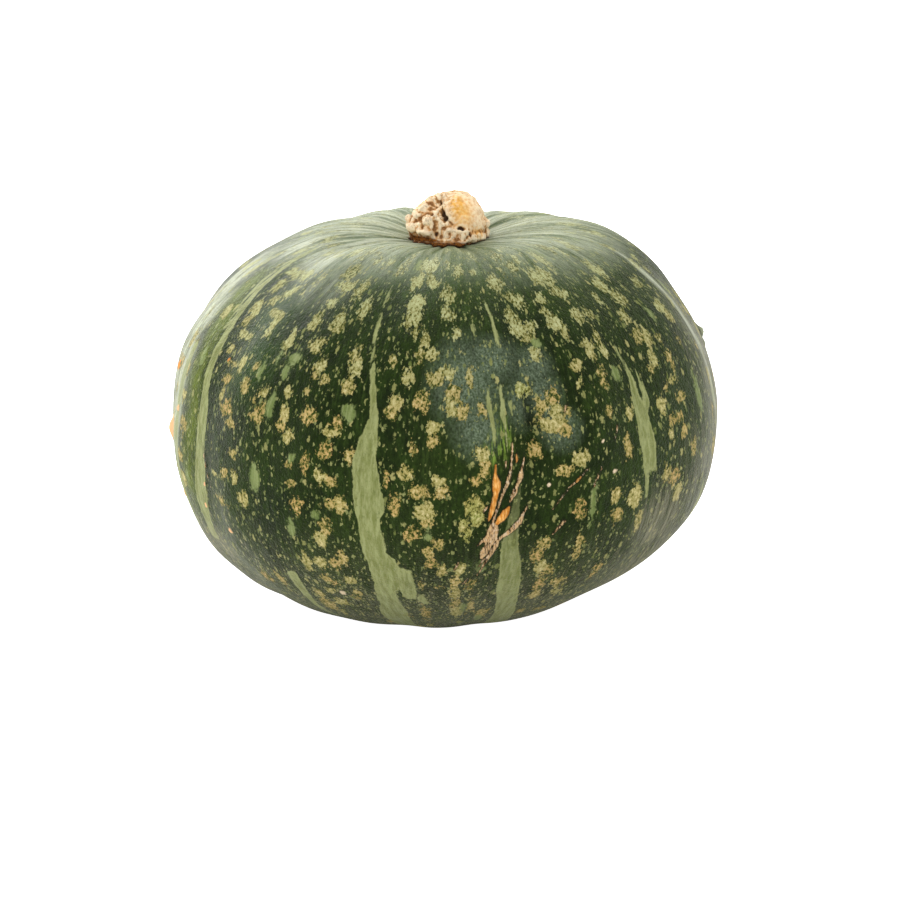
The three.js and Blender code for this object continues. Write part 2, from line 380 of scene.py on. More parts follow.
# %% [markdown]
# ## Setting the skin on the solid
#
# The formula has its zero in the middle of the girth. The solid stands on the floor, centred in
# its own box. The fine skin is centred in the same box and lowered to the same floor, and that
# one shift is kept for everything else that grows on the fruit.

# %% Shift to the solid's place
centre_shift = (fruit_low + fruit_high)[:2] / 2 - (skin_mm.min(0) + skin_mm.max(0))[:2] / 2
shift = np.array([centre_shift[0], centre_shift[1], fruit_low[2] - REST_LEVEL])
print("shift, mm:", shift.round(2), "box of the skin:", np.ptp(skin_mm, axis=0).round(1))


def make_object(name, points_mm, faces):
    """A smooth mesh object from points in millimetres, in the formula's own coordinates."""
    mesh = bpy.data.meshes.new(name)
    mesh.from_pydata(((points_mm + shift) * MM).tolist(), [], faces)
    mesh.validate()
    mesh.polygons.foreach_set("use_smooth", [True] * len(mesh.polygons))
    made = bpy.data.objects.new(name, mesh)
    bpy.context.scene.collection.objects.link(made)
    return made


rind = make_object("rind", skin_mm, skin_faces)
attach(rind, "root")
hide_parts("fruit")
print("rind, mm:", (np.array(rind.dimensions) / MM).round(1))

# %% [markdown]
# ## Markings as fields
#
# The markings belong to the fruit, not to a picture: stripes run along the ribs and blotches sit in
# loose columns between them. Each kind is worked out once for every point of the skin, as a
# distance in millimetres that is positive inside the mark and negative outside. The material later
# adds noise to that distance before it cuts at zero, which gives ragged, lobed edges at any zoom.
# An image texture could not be sharp everywhere, and pure noise could not put a stripe in its place.

# %% Stripes: latitude, left edge and right edge in longitude, from the top down
MAIN_STRIPE = [
    (47, -110.0, -109.4), (40, -109.8, -108.7), (35, -109.0, -108.2), (30, -108.1, -106.8),
    (25, -107.3, -105.8), (20, -106.6, -104.8), (17, -107.6, -104.6), (13, -108.5, -104.5),
    (10, -109.3, -104.4), (6, -109.3, -103.6), (-2, -108.8, -102.4), (-4, -108.5, -103.5),
    (-10, -108.0, -102.7), (-14.5, -107.5, -102.6), (-15.5, -107.4, -101.0), (-20, -106.9, -100.0),
    (-26, -106.2, -100.0), (-30, -107.0, -101.7), (-38, -107.2, -101.2), (-45, -109.0, -100.7),
    (-55, -108.5, -101.0), (-70, -109.0, -101.0),
]
SIDE_BRANCH = [(-19, -101.0, -97.2), (-26, -100.6, -96.9), (-33, -99.9, -96.8), (-34, -98.0, -96.0)]
BRANCH_TAIL = [(-31, -96.6, -95.4), (-34, -96.4, -94.4), (-37, -95.2, -94.4)]
BASE_STRIPE = [
    (4, -75.9, -75.3), (-3, -77.2, -75.0), (-10, -78.3, -74.9), (-15, -78.5, -74.2),
    (-20, -78.2, -73.4), (-30, -77.4, -71.7), (-40, -76.0, -70.0), (-50, -74.3, -67.3), (-66, -71.5, -63.0),
]
RIGHT_STRIPE = [
    (34, -47.3, -46.4), (28, -47.0, -45.8), (24, -46.8, -45.4), (20, -47.2, -45.2), (16, -47.2, -43.9),
    (12, -47.3, -43.2), (8, -47.1, -42.6), (4, -46.7, -42.5), (1, -46.2, -42.6),
]
RIGHT_TAIL = [(4, -46.6, -45.2), (-1, -46.0, -44.8), (-5, -45.4, -44.9)]
RIGHT_BRANCH = [(27, -43.9, -43.3), (21, -43.6, -42.4), (18, -44.4, -42.2), (15, -45.0, -43.6)]
MIDDLE_STRIPES = [
    [(28, -81.8, -81.2), (24, -82.0, -80.9), (20, -81.3, -80.5), (15, -80.7, -80.2)],
    [(28, -79.2, -78.3), (23, -79.0, -77.8), (18, -78.3, -77.4), (11, -77.9, -77.5)],
    [(24, -76.9, -76.2), (20, -76.2, -75.6)],
    [(52, -79.6, -79.2), (48, -79.3, -78.2), (42, -78.2, -77.5), (37, -77.8, -77.4)],
    [(45, -84.3, -83.6), (40, -84.0, -83.6)],
    [(56, -110.3, -110.0), (50, -110.1, -109.7)],
]
LEFT_STRIPES = [
    [(62, -162.8, -161.2), (50, -161.0, -159.2), (40, -159.6, -157.6), (30, -157.9, -155.9),
     (20, -156.6, -154.1),
     (12, -155.8, -152.5), (5, -155.8, -151.8), (-4, -156.4, -151.8), (-14, -158.2, -153.4),
     (-26, -158.2, -155.5)],
    [(60, -163.4, -162.6), (45, -161.8, -160.8), (32, -159.6, -159.0)],
    [(-26, -128.4, -125.8), (-31, -128.4, -126.0), (-40, -128.9, -126.9), (-52, -129.8, -127.6)],
    [(24, -168.4, -166.0), (8, -169.5, -166.5), (-8, -168.5, -165.5), (-20, -167.0, -165.0)],
]
BACK_STRIPES = [
    [(30, 11.6, 12.4), (18, 10.8, 13.4), (0, 10.2, 14.6), (-18, 11.0, 14.0), (-40, 11.6, 15.8),
     (-62, 11.0, 16.0)],
    [(52, 47.0, 47.8), (34, 46.4, 48.6), (12, 46.8, 47.6)],
    [(20, 68.6, 69.4), (4, 67.4, 71.0), (-12, 66.6, 71.4), (-30, 68.2, 71.2), (-50, 67.0, 72.4),
     (-66, 66.8, 73.0)],
    [(46, 96.0, 96.8), (24, 95.2, 97.4), (6, 95.8, 98.6), (-6, 96.6, 97.4)],
    [(26, 121.4, 122.2), (8, 120.0, 124.6), (-10, 120.4, 125.0), (-34, 121.0, 124.0), (-60, 120.0, 125.6)],
    [(40, 148.6, 149.4), (20, 147.8, 150.8), (2, 148.4, 149.6)],
    [(16, 168.8, 169.6), (-4, 167.6, 171.2), (-24, 168.4, 172.2), (-48, 167.6, 171.8), (-64, 168, 173)],
    [(-8, -22.4, -21.8), (-20, -23.2, -20.4), (-40, -23.4, -19.0), (-62, -23.0, -17.8)],
]
STRIPES = [MAIN_STRIPE, SIDE_BRANCH, BRANCH_TAIL, BASE_STRIPE, RIGHT_STRIPE, RIGHT_TAIL, RIGHT_BRANCH]
STRIPES += MIDDLE_STRIPES + LEFT_STRIPES + BACK_STRIPES


def stripe_field(lon, lat):
    """Signed distance in mm inside the nearest stripe."""
    field = np.full_like(lon, FAR_OUTSIDE)
    radius = ring_radius(lat)
    for edges in STRIPES:
        lats, lefts, rights = np.array(edges[::-1], float).T
        left = turn_between(lon, np.interp(lat, lats, lefts))
        right = -turn_between(lon, np.interp(lat, lats, rights))
        across = np.radians(np.minimum(left, right)) * radius
        ends = np.minimum(along_mm(lats[-1]) - along_mm(lat), along_mm(lat) - along_mm(lats[0]))
        field = np.maximum(field, np.minimum(across, ends * 0.5))
    return field


stripe_mm = stripe_field(skin_lon, skin_lat)
print("stripes:", len(STRIPES), "cover", round(100 * (stripe_mm > 0).mean(), 1), "% of the points")

# %% Corky tan blotches on the front: longitude, latitude, half-width and half-height in degrees
BLOTCHES = [
    (-128.6, 57.9, 2.6, 3.2), (-125.9, 53.4, 3.0, 1.8), (-120.0, 53.0, 1.7, 3.4), (-126.4, 47.5, 1.4, 1.8),
    (-120.9, 44.0, 1.6, 2.2), (-120.5, 41.2, 2.3, 1.4), (-115.3, 47.8, 1.7, 2.7), (-127.5, 42.0, 1.7, 2.5),
    (-132.0, 35.4, 1.2, 2.6), (-123.8, 35.4, 2.0, 1.8), (-122.6, 37.0, 1.2, 1.4), (-120.5, 31.1, 1.4, 2.0),
    (-118.7, 27.9, 1.2, 1.2), (-121.1, 28.0, 0.9, 1.5), (-155.0, 53.0, 2.2, 1.7), (-151.4, 53.0, 2.2, 2.3),
    (-146.4, 53.8, 2.4, 2.0), (-153.6, 47.9, 2.0, 2.5), (-148.6, 44.0, 1.8, 1.7), (-145.0, 47.9, 1.9, 2.0),
    (-142.7, 41.0, 3.3, 1.2), (-140.8, 38.4, 1.2, 2.6), (-153.2, 40.0, 2.2, 2.5), (-153.2, 36.0, 1.6, 2.0),
    (-149.5, 33.0, 2.6, 1.2), (-137.7, 53.5, 1.0, 2.2), (-141.8, 50.5, 1.4, 0.8), (-152.5, 28.2, 1.0, 1.3),
    (-147.6, 25.4, 1.8, 0.7), (-143.6, 26.1, 1.3, 2.3), (-138.0, 26.8, 0.8, 1.1), (-147.3, 20.9, 2.0, 1.6),
    (-147.7, 16.5, 1.1, 2.0), (-139.1, 21.5, 1.5, 1.9), (-144.0, 14.3, 2.4, 2.0), (-141.0, 11.5, 1.7, 1.2),
    (-135.0, 18.4, 0.6, 1.7), (-132.7, 21.0, 1.1, 1.9), (-132.7, 14.7, 1.6, 1.3), (-132.3, 17.5, 1.0, 1.7),
    (-126.1, 17.4, 1.3, 2.4), (-126.6, 14.6, 1.1, 1.6), (-126.6, 23.0, 0.9, 1.3), (-122.0, 23.8, 0.6, 1.1),
    (-120.2, 18.4, 1.9, 2.1), (-124.3, 12.2, 1.1, 1.6), (-123.6, 6.0, 1.1, 0.9), (-119.5, 6.8, 1.0, 1.9),
    (-139.0, 4.5, 1.1, 1.1), (-141.8, -0.5, 1.4, 1.3), (-138.0, -0.3, 1.0, 1.2), (-122.5, 1.8, 1.1, 0.9),
    (-121.4, -3.0, 1.3, 2.1), (-135.5, -5.3, 1.4, 2.1), (-144.0, -9.0, 2.2, 1.1), (-146.4, -2.1, 0.9, 0.6),
    (-102.2, 58.6, 2.2, 3.2), (-97.6, 59.6, 1.8, 2.2), (-95.8, 57.4, 1.6, 1.6), (-91.4, 53.8, 1.8, 2.6),
    (-89.6, 52.4, 1.2, 1.6), (-91.0, 48.0, 1.4, 1.7), (-89.2, 47.4, 1.0, 1.0), (-100.2, 51.0, 2.3, 2.6),
    (-100.2, 46.5, 2.4, 3.0), (-99.0, 43.0, 1.2, 1.9), (-88.6, 42.9, 0.9, 1.4), (-96.3, 40.2, 1.2, 2.2),
    (-96.6, 36.2, 1.3, 2.2), (-94.1, 36.8, 1.2, 1.6), (-113.2, 35.2, 1.2, 2.3), (-111.8, 31.5, 1.3, 2.4),
    (-112.5, 27.0, 1.4, 2.1), (-103.2, 34.6, 1.1, 1.3), (-99.3, 30.6, 1.4, 2.1), (-93.0, 30.4, 2.1, 1.8),
    (-90.6, 32.0, 1.6, 1.6), (-85.5, 30.6, 1.0, 2.0), (-89.1, 27.0, 1.5, 1.6), (-89.8, 23.4, 1.4, 2.4),
    (-87.0, 22.0, 1.3, 1.9), (-96.1, 24.5, 1.7, 2.4), (-101.4, 23.6, 1.7, 2.2), (-102.4, 21.2, 1.3, 1.3),
    (-93.2, 18.4, 1.4, 1.8), (-93.0, 15.0, 1.1, 1.8), (-113.6, 17.8, 1.3, 1.4), (-114.4, 15.4, 1.6, 1.2),
    (-83.0, 22.0, 0.7, 1.6), (-115.2, 10.8, 1.5, 2.0), (-110.2, 10.6, 1.0, 2.0), (-97.0, 13.1, 0.6, 1.1),
    (-83.2, 11.6, 1.5, 1.9), (-82.8, 8.2, 1.1, 2.0), (-84.5, 5.6, 1.2, 1.1), (-98.4, 7.2, 1.5, 1.7),
    (-95.9, 2.9, 1.7, 1.6), (-91.8, 5.6, 1.3, 1.4), (-91.0, 2.9, 1.2, 1.6), (-100.5, -0.3, 1.2, 2.3),
    (-116.2, 4.4, 1.1, 2.0), (-113.4, 3.4, 1.1, 1.4), (-102.0, 5.2, 0.6, 1.4), (-111.8, -1.2, 1.2, 2.1),
    (-114.1, -1.8, 1.3, 1.2), (-94.4, -1.4, 1.9, 2.2), (-94.0, -4.0, 1.1, 1.6), (-97.0, -7.6, 1.7, 1.9),
    (-86.8, -5.4, 1.1, 1.7), (-115.2, -8.4, 1.2, 2.4), (-116.4, -11.6, 1.3, 2.4), (-112.5, -17.6, 1.1, 2.5),
    (-114.2, -20.0, 1.2, 2.0), (-117.7, -19.6, 1.4, 2.0), (-93.6, -12.6, 1.1, 2.2),
    (-92.8, -17.0, 1.6, 1.8),
    (-90.8, -19.2, 1.1, 1.8), (-91.8, -10.2, 1.0, 1.6), (-87.0, -18.6, 0.9, 2.0), (-87.9, -23.6, 1.0, 3.0),
    (-84.2, -25.8, 0.8, 2.1), (-112.0, -26.0, 1.4, 1.6), (-117.7, -26.0, 1.3, 1.6),
    (-116.3, -27.9, 0.9, 1.1),
    (-111.5, -32.7, 0.9, 2.0), (-112.7, -35.8, 0.9, 1.6), (-118.4, -32.0, 1.2, 1.4),
    (-95.6, -26.3, 0.6, 1.2),
    (-91.6, -26.4, 0.8, 0.9), (-87.7, -30.0, 1.2, 3.0), (-87.2, -35.6, 1.2, 3.0), (-86.6, -41.5, 1.6, 3.4),
    (-83.2, -38.0, 0.9, 4.0), (-95.4, -43.5, 1.1, 5.0), (-117.7, -38.5, 1.8, 2.2),
    (-131.8, -30.5, 1.0, 2.4),
    (-137.4, -32.0, 1.8, 2.0), (-122.4, -35.0, 1.3, 2.4), (-122.6, -41.0, 2.0, 3.0),
    (-121.2, -20.4, 1.2, 2.8),
    (-73.6, 58.2, 2.7, 3.2), (-70.4, 52.4, 1.8, 1.5), (-68.4, 51.0, 1.9, 1.8), (-72.4, 47.2, 1.9, 1.9),
    (-71.6, 43.0, 2.1, 2.0), (-68.2, 43.2, 1.8, 1.7), (-70.0, 40.6, 1.4, 1.6), (-69.0, 36.0, 1.0, 2.2),
    (-61.8, 50.6, 1.6, 1.8), (-62.2, 46.5, 1.5, 1.7), (-61.0, 42.8, 2.2, 2.2), (-59.6, 40.2, 1.0, 1.4),
    (-58.4, 57.8, 2.2, 3.0), (-54.8, 57.2, 2.2, 3.2), (-55.4, 52.2, 2.0, 1.8), (-53.4, 50.8, 1.4, 1.4),
    (-53.2, 43.8, 1.7, 2.4), (-49.8, 42.9, 0.8, 1.6), (-54.8, 34.6, 1.7, 2.5), (-51.2, 36.6, 1.1, 1.8),
    (-50.8, 33.0, 1.1, 1.8), (-60.0, 31.4, 1.4, 1.6), (-54.1, 27.0, 1.1, 2.9), (-60.5, 26.8, 0.7, 1.3),
    (-54.5, 18.4, 0.9, 1.3), (-48.8, 16.5, 1.0, 1.7), (-50.6, 8.6, 1.0, 2.6), (-71.8, 11.6, 1.4, 2.3),
    (-62.4, 8.4, 1.8, 2.0), (-66.0, 6.0, 1.4, 1.4), (-62.3, -3.4, 1.1, 2.4), (-54.0, -1.6, 1.4, 1.6),
    (-53.2, -7.0, 1.6, 2.2), (-48.8, -3.4, 2.0, 2.8), (-69.4, -12.6, 1.2, 1.8), (-70.4, -17.0, 1.2, 2.2),
    (-68.4, -21.4, 1.4, 2.4), (-66.6, -22.6, 1.2, 2.0), (-67.2, -29.0, 1.4, 3.0), (-66.6, -34.6, 1.2, 2.6),
    (-63.4, -27.4, 1.6, 2.2), (-61.8, -32.4, 1.1, 3.2), (-61.4, -14.6, 0.9, 3.2), (-54.0, -25.6, 1.2, 2.8),
    (-46.6, -10.6, 1.0, 2.6), (-42.7, 48.6, 0.9, 1.4), (-42.4, 45.8, 0.9, 1.2), (-36.8, 50.4, 1.9, 2.8),
    (-35.2, 45.6, 2.2, 2.6), (-32.5, 55.0, 1.7, 3.2), (-38.4, 40.0, 1.5, 1.9), (-37.8, 34.6, 2.2, 2.2),
    (-35.6, 33.6, 1.6, 2.4), (-31.6, 31.6, 0.9, 1.2), (-36.8, 27.6, 1.1, 1.8), (-38.6, 25.2, 1.2, 1.2),
    (-31.4, 26.0, 1.0, 2.4), (-33.4, 21.0, 1.7, 1.1), (-36.2, 19.8, 0.8, 0.8), (-38.8, 15.6, 1.4, 2.2),
    (-31.8, 16.2, 1.7, 1.2), (-35.0, 11.5, 2.2, 1.4), (-37.4, 8.4, 0.8, 1.6), (-32.7, 7.4, 1.4, 1.5),
    (-36.4, -2.0, 1.5, 2.0), (-39.3, -0.3, 1.1, 1.7), (-22.3, 46.5, 1.5, 1.8), (-22.4, 38.6, 2.2, 2.0),
    (-21.6, 35.6, 1.6, 2.0), (-24.2, 28.8, 0.9, 1.1), (-34.6, -7.0, 1.4, 2.4), (-29.8, 3.0, 1.2, 2.2),
    (-84.6, -0.4, 2.0, 2.2), (-84.2, -3.4, 1.6, 2.0), (-86.2, -6.8, 1.2, 2.4), (-73.6, 27.0, 1.9, 1.6),
    (-69.6, 22.4, 1.5, 2.2), (-67.2, 24.0, 1.6, 2.4), (-67.7, 17.5, 2.8, 2.1), (-65.4, 15.6, 1.6, 1.4),
    (-66.8, 20.6, 1.9, 1.9), (-64.4, 20.4, 1.2, 1.6),
]
print("blotches placed by hand:", len(BLOTCHES))

# %% The rest of the blotches follow the same loose columns
HAND_PLACED = (-160, -19, -44, 62)  # longitudes and latitudes where the lists above hold
CROWN_STREAKS = 52
GOLDEN_SHARE = 0.618034  # steps of this size never line up, so near numbers get far tones


def in_hand_placed(lon, lat):
    west, east, south, north = HAND_PLACED
    return west < lon < east and south < lat < north


def wandering_grid(random, columns, rows, lon_wander, lat_wander):
    """Places on a grid, each moved a little at random."""
    for column in columns:
        for row in rows:
            lon = turn_between(column + random.normal(0, lon_wander), 0)
            yield lon, row + random.normal(0, lat_wander)


def spot_field(lon, lat, spots):
    """Signed distance in mm inside the nearest spot, and that spot's own number from 0 to 1."""
    field = np.full_like(lon, FAR_OUTSIDE)
    tone = np.zeros_like(lon)
    for number, (spot_lon, spot_lat, half_across, half_along) in enumerate(spots):
        near = np.abs(lat - spot_lat) < half_along * 3 + 4
        across, along = offset_mm(lon[near], lat[near], spot_lon, spot_lat)
        reach_across, reach_along = offset_mm(
            np.array(spot_lon + half_across), np.array(spot_lat + half_along), spot_lon, spot_lat
        )
        reach = np.hypot(across / reach_across, along / reach_along)
        distance = (1 - reach) * min(reach_across, reach_along)
        closer = distance > field[near]
        tone[near] = np.where(closer, (number * GOLDEN_SHARE) % 1, tone[near])
        field[near] = np.where(closer, distance, field[near])
    return field, tone


blotch_random = np.random.default_rng(21)
grown_blotches = []
for lon, lat in wandering_grid(
    blotch_random, np.arange(-180, 180, 7.2), np.arange(-68, 66, 6.6), 1.7, 1.6
):
    half_across = blotch_random.uniform(0.8, 2.2)
    half_along = blotch_random.uniform(1.1, 2.8)
    keep = blotch_random.random() < (0.78 if lat > -30 else 0.5)
    if keep and not in_hand_placed(lon, lat):
        grown_blotches.append((lon, lat, half_across, half_along))
for number in range(CROWN_STREAKS):
    lon = -180 + 360 * number / CROWN_STREAKS + blotch_random.normal(0, 2.0)
    lat = blotch_random.uniform(63, 78)
    grown_blotches.append((lon, lat, blotch_random.uniform(0.9, 2.6), blotch_random.uniform(1.6, 4.6)))
blotch_mm, blotch_tone = spot_field(skin_lon, skin_lat, BLOTCHES + grown_blotches)
print("blotches grown by rule:", len(grown_blotches))

# %% Smooth sage flecks, greener than the blotches and not corky
SAGE_FLECKS = [
    (-132.5, 31.2, 0.6, 1.7), (-127.9, 31.7, 1.8, 1.3), (-129.0, 27.6, 0.8, 2.3), (-136.1, 26.5, 0.8, 2.6),
    (-130.2, 18.8, 1.1, 3.4), (-122.8, 7.7, 1.0, 1.2), (-132.0, 0.6, 1.4, 2.9), (-117.3, -4.8, 1.0, 1.1),
    (-111.6, 21.4, 1.3, 1.3), (-111.0, 19.6, 1.3, 1.4), (-68.0, 38.5, 1.4, 1.1),
    (-50.0, 27.0, 1.2, 2.1), (-28.9, 38.4, 0.9, 2.3), (-24.3, 14.3, 1.0, 4.6), (-59.5, -2.2, 0.7, 4.6),
    (-93.8, -7.4, 0.5, 2.4), (-82.6, -18.6, 1.1, 2.2), (-122.9, -10.0, 1.0, 2.6), (-85.0, -38.8, 0.8, 3.4),
]
grown_flecks = []
for lon, lat in wandering_grid(
    blotch_random, np.arange(-180, 180, 19.0), np.arange(-60, 60, 17.0), 5, 4
):
    if not in_hand_placed(lon, lat):
        size = blotch_random.uniform(0.7, 1.3)
        grown_flecks.append((lon, lat, size, size * blotch_random.uniform(1.2, 2.8)))
fleck_mm = spot_field(skin_lon, skin_lat, SAGE_FLECKS + grown_flecks)[0]
print("sage flecks:", len(SAGE_FLECKS) + len(grown_flecks))

# %% [markdown]
# ## Soft tints
#
# A ripe rind isn't one green. It is olive along some furrows, streaked pale round the stem and
# yellower beside the scar; painted light is laid over it too: a soft highlight on the wax, a glancing
# sheen over the pale streaks, and a paler haze of bounce light on the right and underneath. These
# have no edges, so each is a few soft ellipses laid on the skin by longitude and latitude. They could
# be painted by hand as vertex colours, but a list of ellipses can be moved and mixed again at any
# time. Painted shade in the fold, the furrows and the wrinkles follows their shapes instead.

# %% Soft tints
TINTS = {
    # a painted soft highlight on the wax beside the dimple
    "wax_highlight": [
        (-86, 30, 8, 11), (-84, 18, 5, 7), (-71, 32, 5, 6), (-69.5, 25, 4.4, 6), (-80, 35, 8, 6),
        (-66, 16, 4, 5), (-74, 24, 4, 7),
    ],
    "olive": [
        (-158.4, 6, 3.2, 12), (-160, 20, 3.4, 12), (-162, 32, 3.4, 10), (-166, 42, 3.8, 10),
        (-160, -8, 3.0, 10), (-168, -18, 5, 14),
    ],
    "yellow": [(-84.5, -2, 3, 6), (-85.5, -9, 2.5, 4), (-73.6, 27, 2.5, 2.5)],
    "vivid": [(-80.5, 12.0, 2.2, 4.6), (-78.0, 14.5, 1.9, 5.4)],
    "green": [(-145, 42, 9, 12), (-140, 28, 7, 9)],
    # pale streaks with a painted glancing sheen round the stem and on the left flank; the three narrow
    # ellipses near longitude -12 are a painted highlight along a rib
    "frost_and_sheen": [
        (-177, 42, 6, 13), (-173, 30, 5.6, 12), (-171, 16, 6, 12), (-170, 4, 6, 9), (176, 34, 6, 20),
        (178, 6, 6, 16), (-172, 60, 9, 9), (-150, 62, 12, 9), (-13, 46, 1.8, 12), (-12, 28, 2.0, 13),
        (-12.6, 12, 1.6, 9),
    ],
    # a faint painted sheen on the left shoulder
    "faint_frost_and_sheen": [(-135, 54, 11, 8), (-128, 62, 10, 6)],
    # a paler streaky haze of painted light: glancing light on the right flank and bounce light low on the
    # left
    "painted_light_haze": [
        (-8, 10, 14, 30), (-14, -14, 20, 24), (-24, -34, 27, 22), (-160, -28, 11, 8), (-38, -15, 9, 12),
    ],
}  # longitude, latitude, half-width and half-height in degrees
DEEPEST_FURROW = 2.2
CROWN_LAT = 50  # where the pale streaks and painted sheen round the stem begin, a little higher in front
CROWN_FADE = 22
FRONT_LON = -95
SHEEN_OFF_LON = -82  # the pale streaks and painted sheen on the crown are weaker here, where the crown faces the camera
BOUNCE_LON = -18  # the side where the painted bounce light underneath is strongest
BOUNCE_LAT = -6
BOUNCE_FADE = 34


def soft_tint(lon, lat, places):
    """Full in the middle of each ellipse, fading to nothing a third beyond its edge."""
    tint = np.zeros_like(lon)
    for place_lon, place_lat, half_across, half_along in places:
        reach = np.hypot(turn_between(lon, place_lon) / half_across, (lat - place_lat) / half_along)
        tint = np.maximum(tint, np.clip(1.35 - reach, 0, 1))
    return tint


tints = {name: soft_tint(skin_lon, skin_lat, places) for name, places in TINTS.items()}
# round the stem: pale streaks with a painted glancing sheen and a painted highlight, both weaker in front
# where the crown faces the camera
crown_edge = CROWN_LAT + 6 * bell(turn_between(skin_lon, FRONT_LON), 38)
crown = np.clip((skin_lat - crown_edge) / CROWN_FADE, 0, 1)
sheen_off_front = 0.72 * bell(turn_between(skin_lon, SHEEN_OFF_LON), 44)
# underneath, most on the right side: a paler haze of painted bounce light from the floor
bounce_side = 0.22 + 0.33 * bell(turn_between(skin_lon, BOUNCE_LON), 34)
bounce_underside = bounce_side * np.clip((BOUNCE_LAT - skin_lat) / BOUNCE_FADE, 0, 1)
frost_and_sheen = np.maximum(crown * (1 - sheen_off_front), tints["frost_and_sheen"] * 0.84)
tints["frost_and_sheen"] = np.maximum(frost_and_sheen, tints.pop("faint_frost_and_sheen") * 0.3)
# the crown gets the painted highlight on the wax too
tints["wax_highlight"] = np.maximum(tints["wax_highlight"], crown * 0.6)
tints["painted_light_haze"] = np.maximum(tints["painted_light_haze"] * 0.75, bounce_underside)
# painted shade along the fold beside the dimple
tints["fold"] = bell(stroke_distance(skin_lon, skin_lat, *FOLD[0])[0], 1.9)
# painted shade in the furrows, darker where a furrow is deeper
tints["furrow_shade"] = sum(
    bell(turn_between(skin_lon, lon), 5) * depth / DEEPEST_FURROW for lon, depth in FURROWS
)
# the wrinkles' depth, which the material turns into painted shade in them
tints["wrinkle"] = wrinkle_depth(skin_lon, skin_lat)
print("tints:", ", ".join(tints))

# %% How strongly a stripe shows: the one under the scar starts faint and pales towards the base
FAINT_STRIPE_LATS = (-40, -26, -14, -4, 6)
FAINT_STRIPE_SHARES = (1.0, 0.95, 0.72, 0.36, 0.15)
near_faint = bell(turn_between(skin_lon, -75), 6) * (skin_lat < 9)
stripe_share = 1 - near_faint * (1 - np.interp(skin_lat, FAINT_STRIPE_LATS, FAINT_STRIPE_SHARES))
print("faintest stripe shows by", stripe_share.min().round(2))

# %% Hang the fields on the mesh
turn = np.radians(skin_lon)
GROWN = np.stack(
    [GIRTH_RADIUS * np.cos(turn), GIRTH_RADIUS * np.sin(turn), along_mm(skin_lat)], axis=1
)  # unrolled place: seamless round the girth, and stretched towards the poles as a growing rind is


def hang_field(item, name, values):
    """Stores one number, or one vector, for each point of the mesh under a name."""
    values = np.asarray(values, np.float32)
    kind, key = ("FLOAT_VECTOR", "vector") if values.ndim == 2 else ("FLOAT", "value")
    item.data.attributes.new(name, kind, "POINT").data.foreach_set(key, values.ravel())


marks = {
    "grown": GROWN, "stripe_mm": stripe_mm, "stripe_share": stripe_share, "blotch_mm": blotch_mm,
    "blotch_tone": blotch_tone, "fleck_mm": fleck_mm, "orange_mm": orange_mm,
    "brown_mm": brown_mm, "wart": wart_mask,
}
for field_name, field_values in {**marks, **tints}.items():
    hang_field(rind, field_name, field_values)
print("fields on the rind:", len(marks) + len(tints))

# %% [markdown]
# ## Short hands for materials
#
# A procedural material is arithmetic drawn as nodes. These helpers each add one node and hand back
# its output, so a material below reads as the sums it does. Colours are given as everyday
# 0 to 255 numbers, the way they would be mixed by eye.


# %% Helpers for node trees
def paint(red, green, blue):
    """An everyday 0 to 255 colour as the linear one that Blender works in."""
    parts = (red / 255, green / 255, blue / 255)
    return tuple(c / 12.92 if c <= 0.04045 else ((c + 0.055) / 1.055) ** 2.4 for c in parts) + (1.0,)


def feed(tree, socket, value):
    """Links another node's output to a socket, or sets a plain value on it."""
    if isinstance(value, bpy.types.NodeSocket):
        tree.links.new(value, socket)
    else:
        socket.default_value = value


def calc(tree, operation, *values):
    node = tree.nodes.new("ShaderNodeMath")
    node.operation = operation
    for socket, value in zip(node.inputs, values):
        feed(tree, socket, value)
    return node.outputs[0]


def times(tree, first, second):
    return calc(tree, "MULTIPLY", first, second)


def between(tree, value, low, high, to_low=0.0, to_high=1.0):
    """A soft step: to_low up to low, to_high from high on."""
    node = tree.nodes.new("ShaderNodeMapRange")
    node.interpolation_type = "SMOOTHSTEP"
    names = ("Value", "From Min", "From Max", "To Min", "To Max")
    for name, part in zip(names, (value, low, high, to_low, to_high)):
        feed(tree, node.inputs[name], part)
    return node.outputs[0]


def blend(tree, share, under, over, way="MIX"):
    """Two colours mixed: all of the lower one at share 0, all of the upper one at 1."""
    node = tree.nodes.new("ShaderNodeMix")
    node.data_type = "RGBA"
    node.blend_type = way
    for index, part in zip((0, 6, 7), (share, under, over)):
        feed(tree, node.inputs[index], part)
    return node.outputs[2]


def layered(tree, colour, *coats):
    """Coats laid over a colour in turn: each is a share and a paint, and may name a way to mix."""
    for share, over, *way in coats:
        colour = blend(tree, share, colour, over, *way)
    return colour


def stretched(tree, place, scale, shift_by=(0, 0, 0)):
    node = tree.nodes.new("ShaderNodeMapping")
    node.inputs["Scale"].default_value = scale
    node.inputs["Location"].default_value = shift_by
    feed(tree, node.inputs["Vector"], place)
    return node.outputs[0]


def noise(tree, place, size, detail=3.0, roughness=0.55, centred=False):
    """Cloudy noise with features about size millimetres across, from 0 to 1 or centred on 0."""
    node = tree.nodes.new("ShaderNodeTexNoise")
    node.inputs["Scale"].default_value = 1 / size
    node.inputs["Detail"].default_value = detail
    node.inputs["Roughness"].default_value = roughness
    feed(tree, node.inputs["Vector"], place)
    return calc(tree, "SUBTRACT", node.outputs[0], 0.5) if centred else node.outputs[0]


def cells(tree, place, size):
    """Cells about size millimetres across, with their Distance and a random Color each."""
    node = tree.nodes.new("ShaderNodeTexVoronoi")
    node.inputs["Scale"].default_value = 1 / size
    feed(tree, node.inputs["Vector"], place)
    return node.outputs


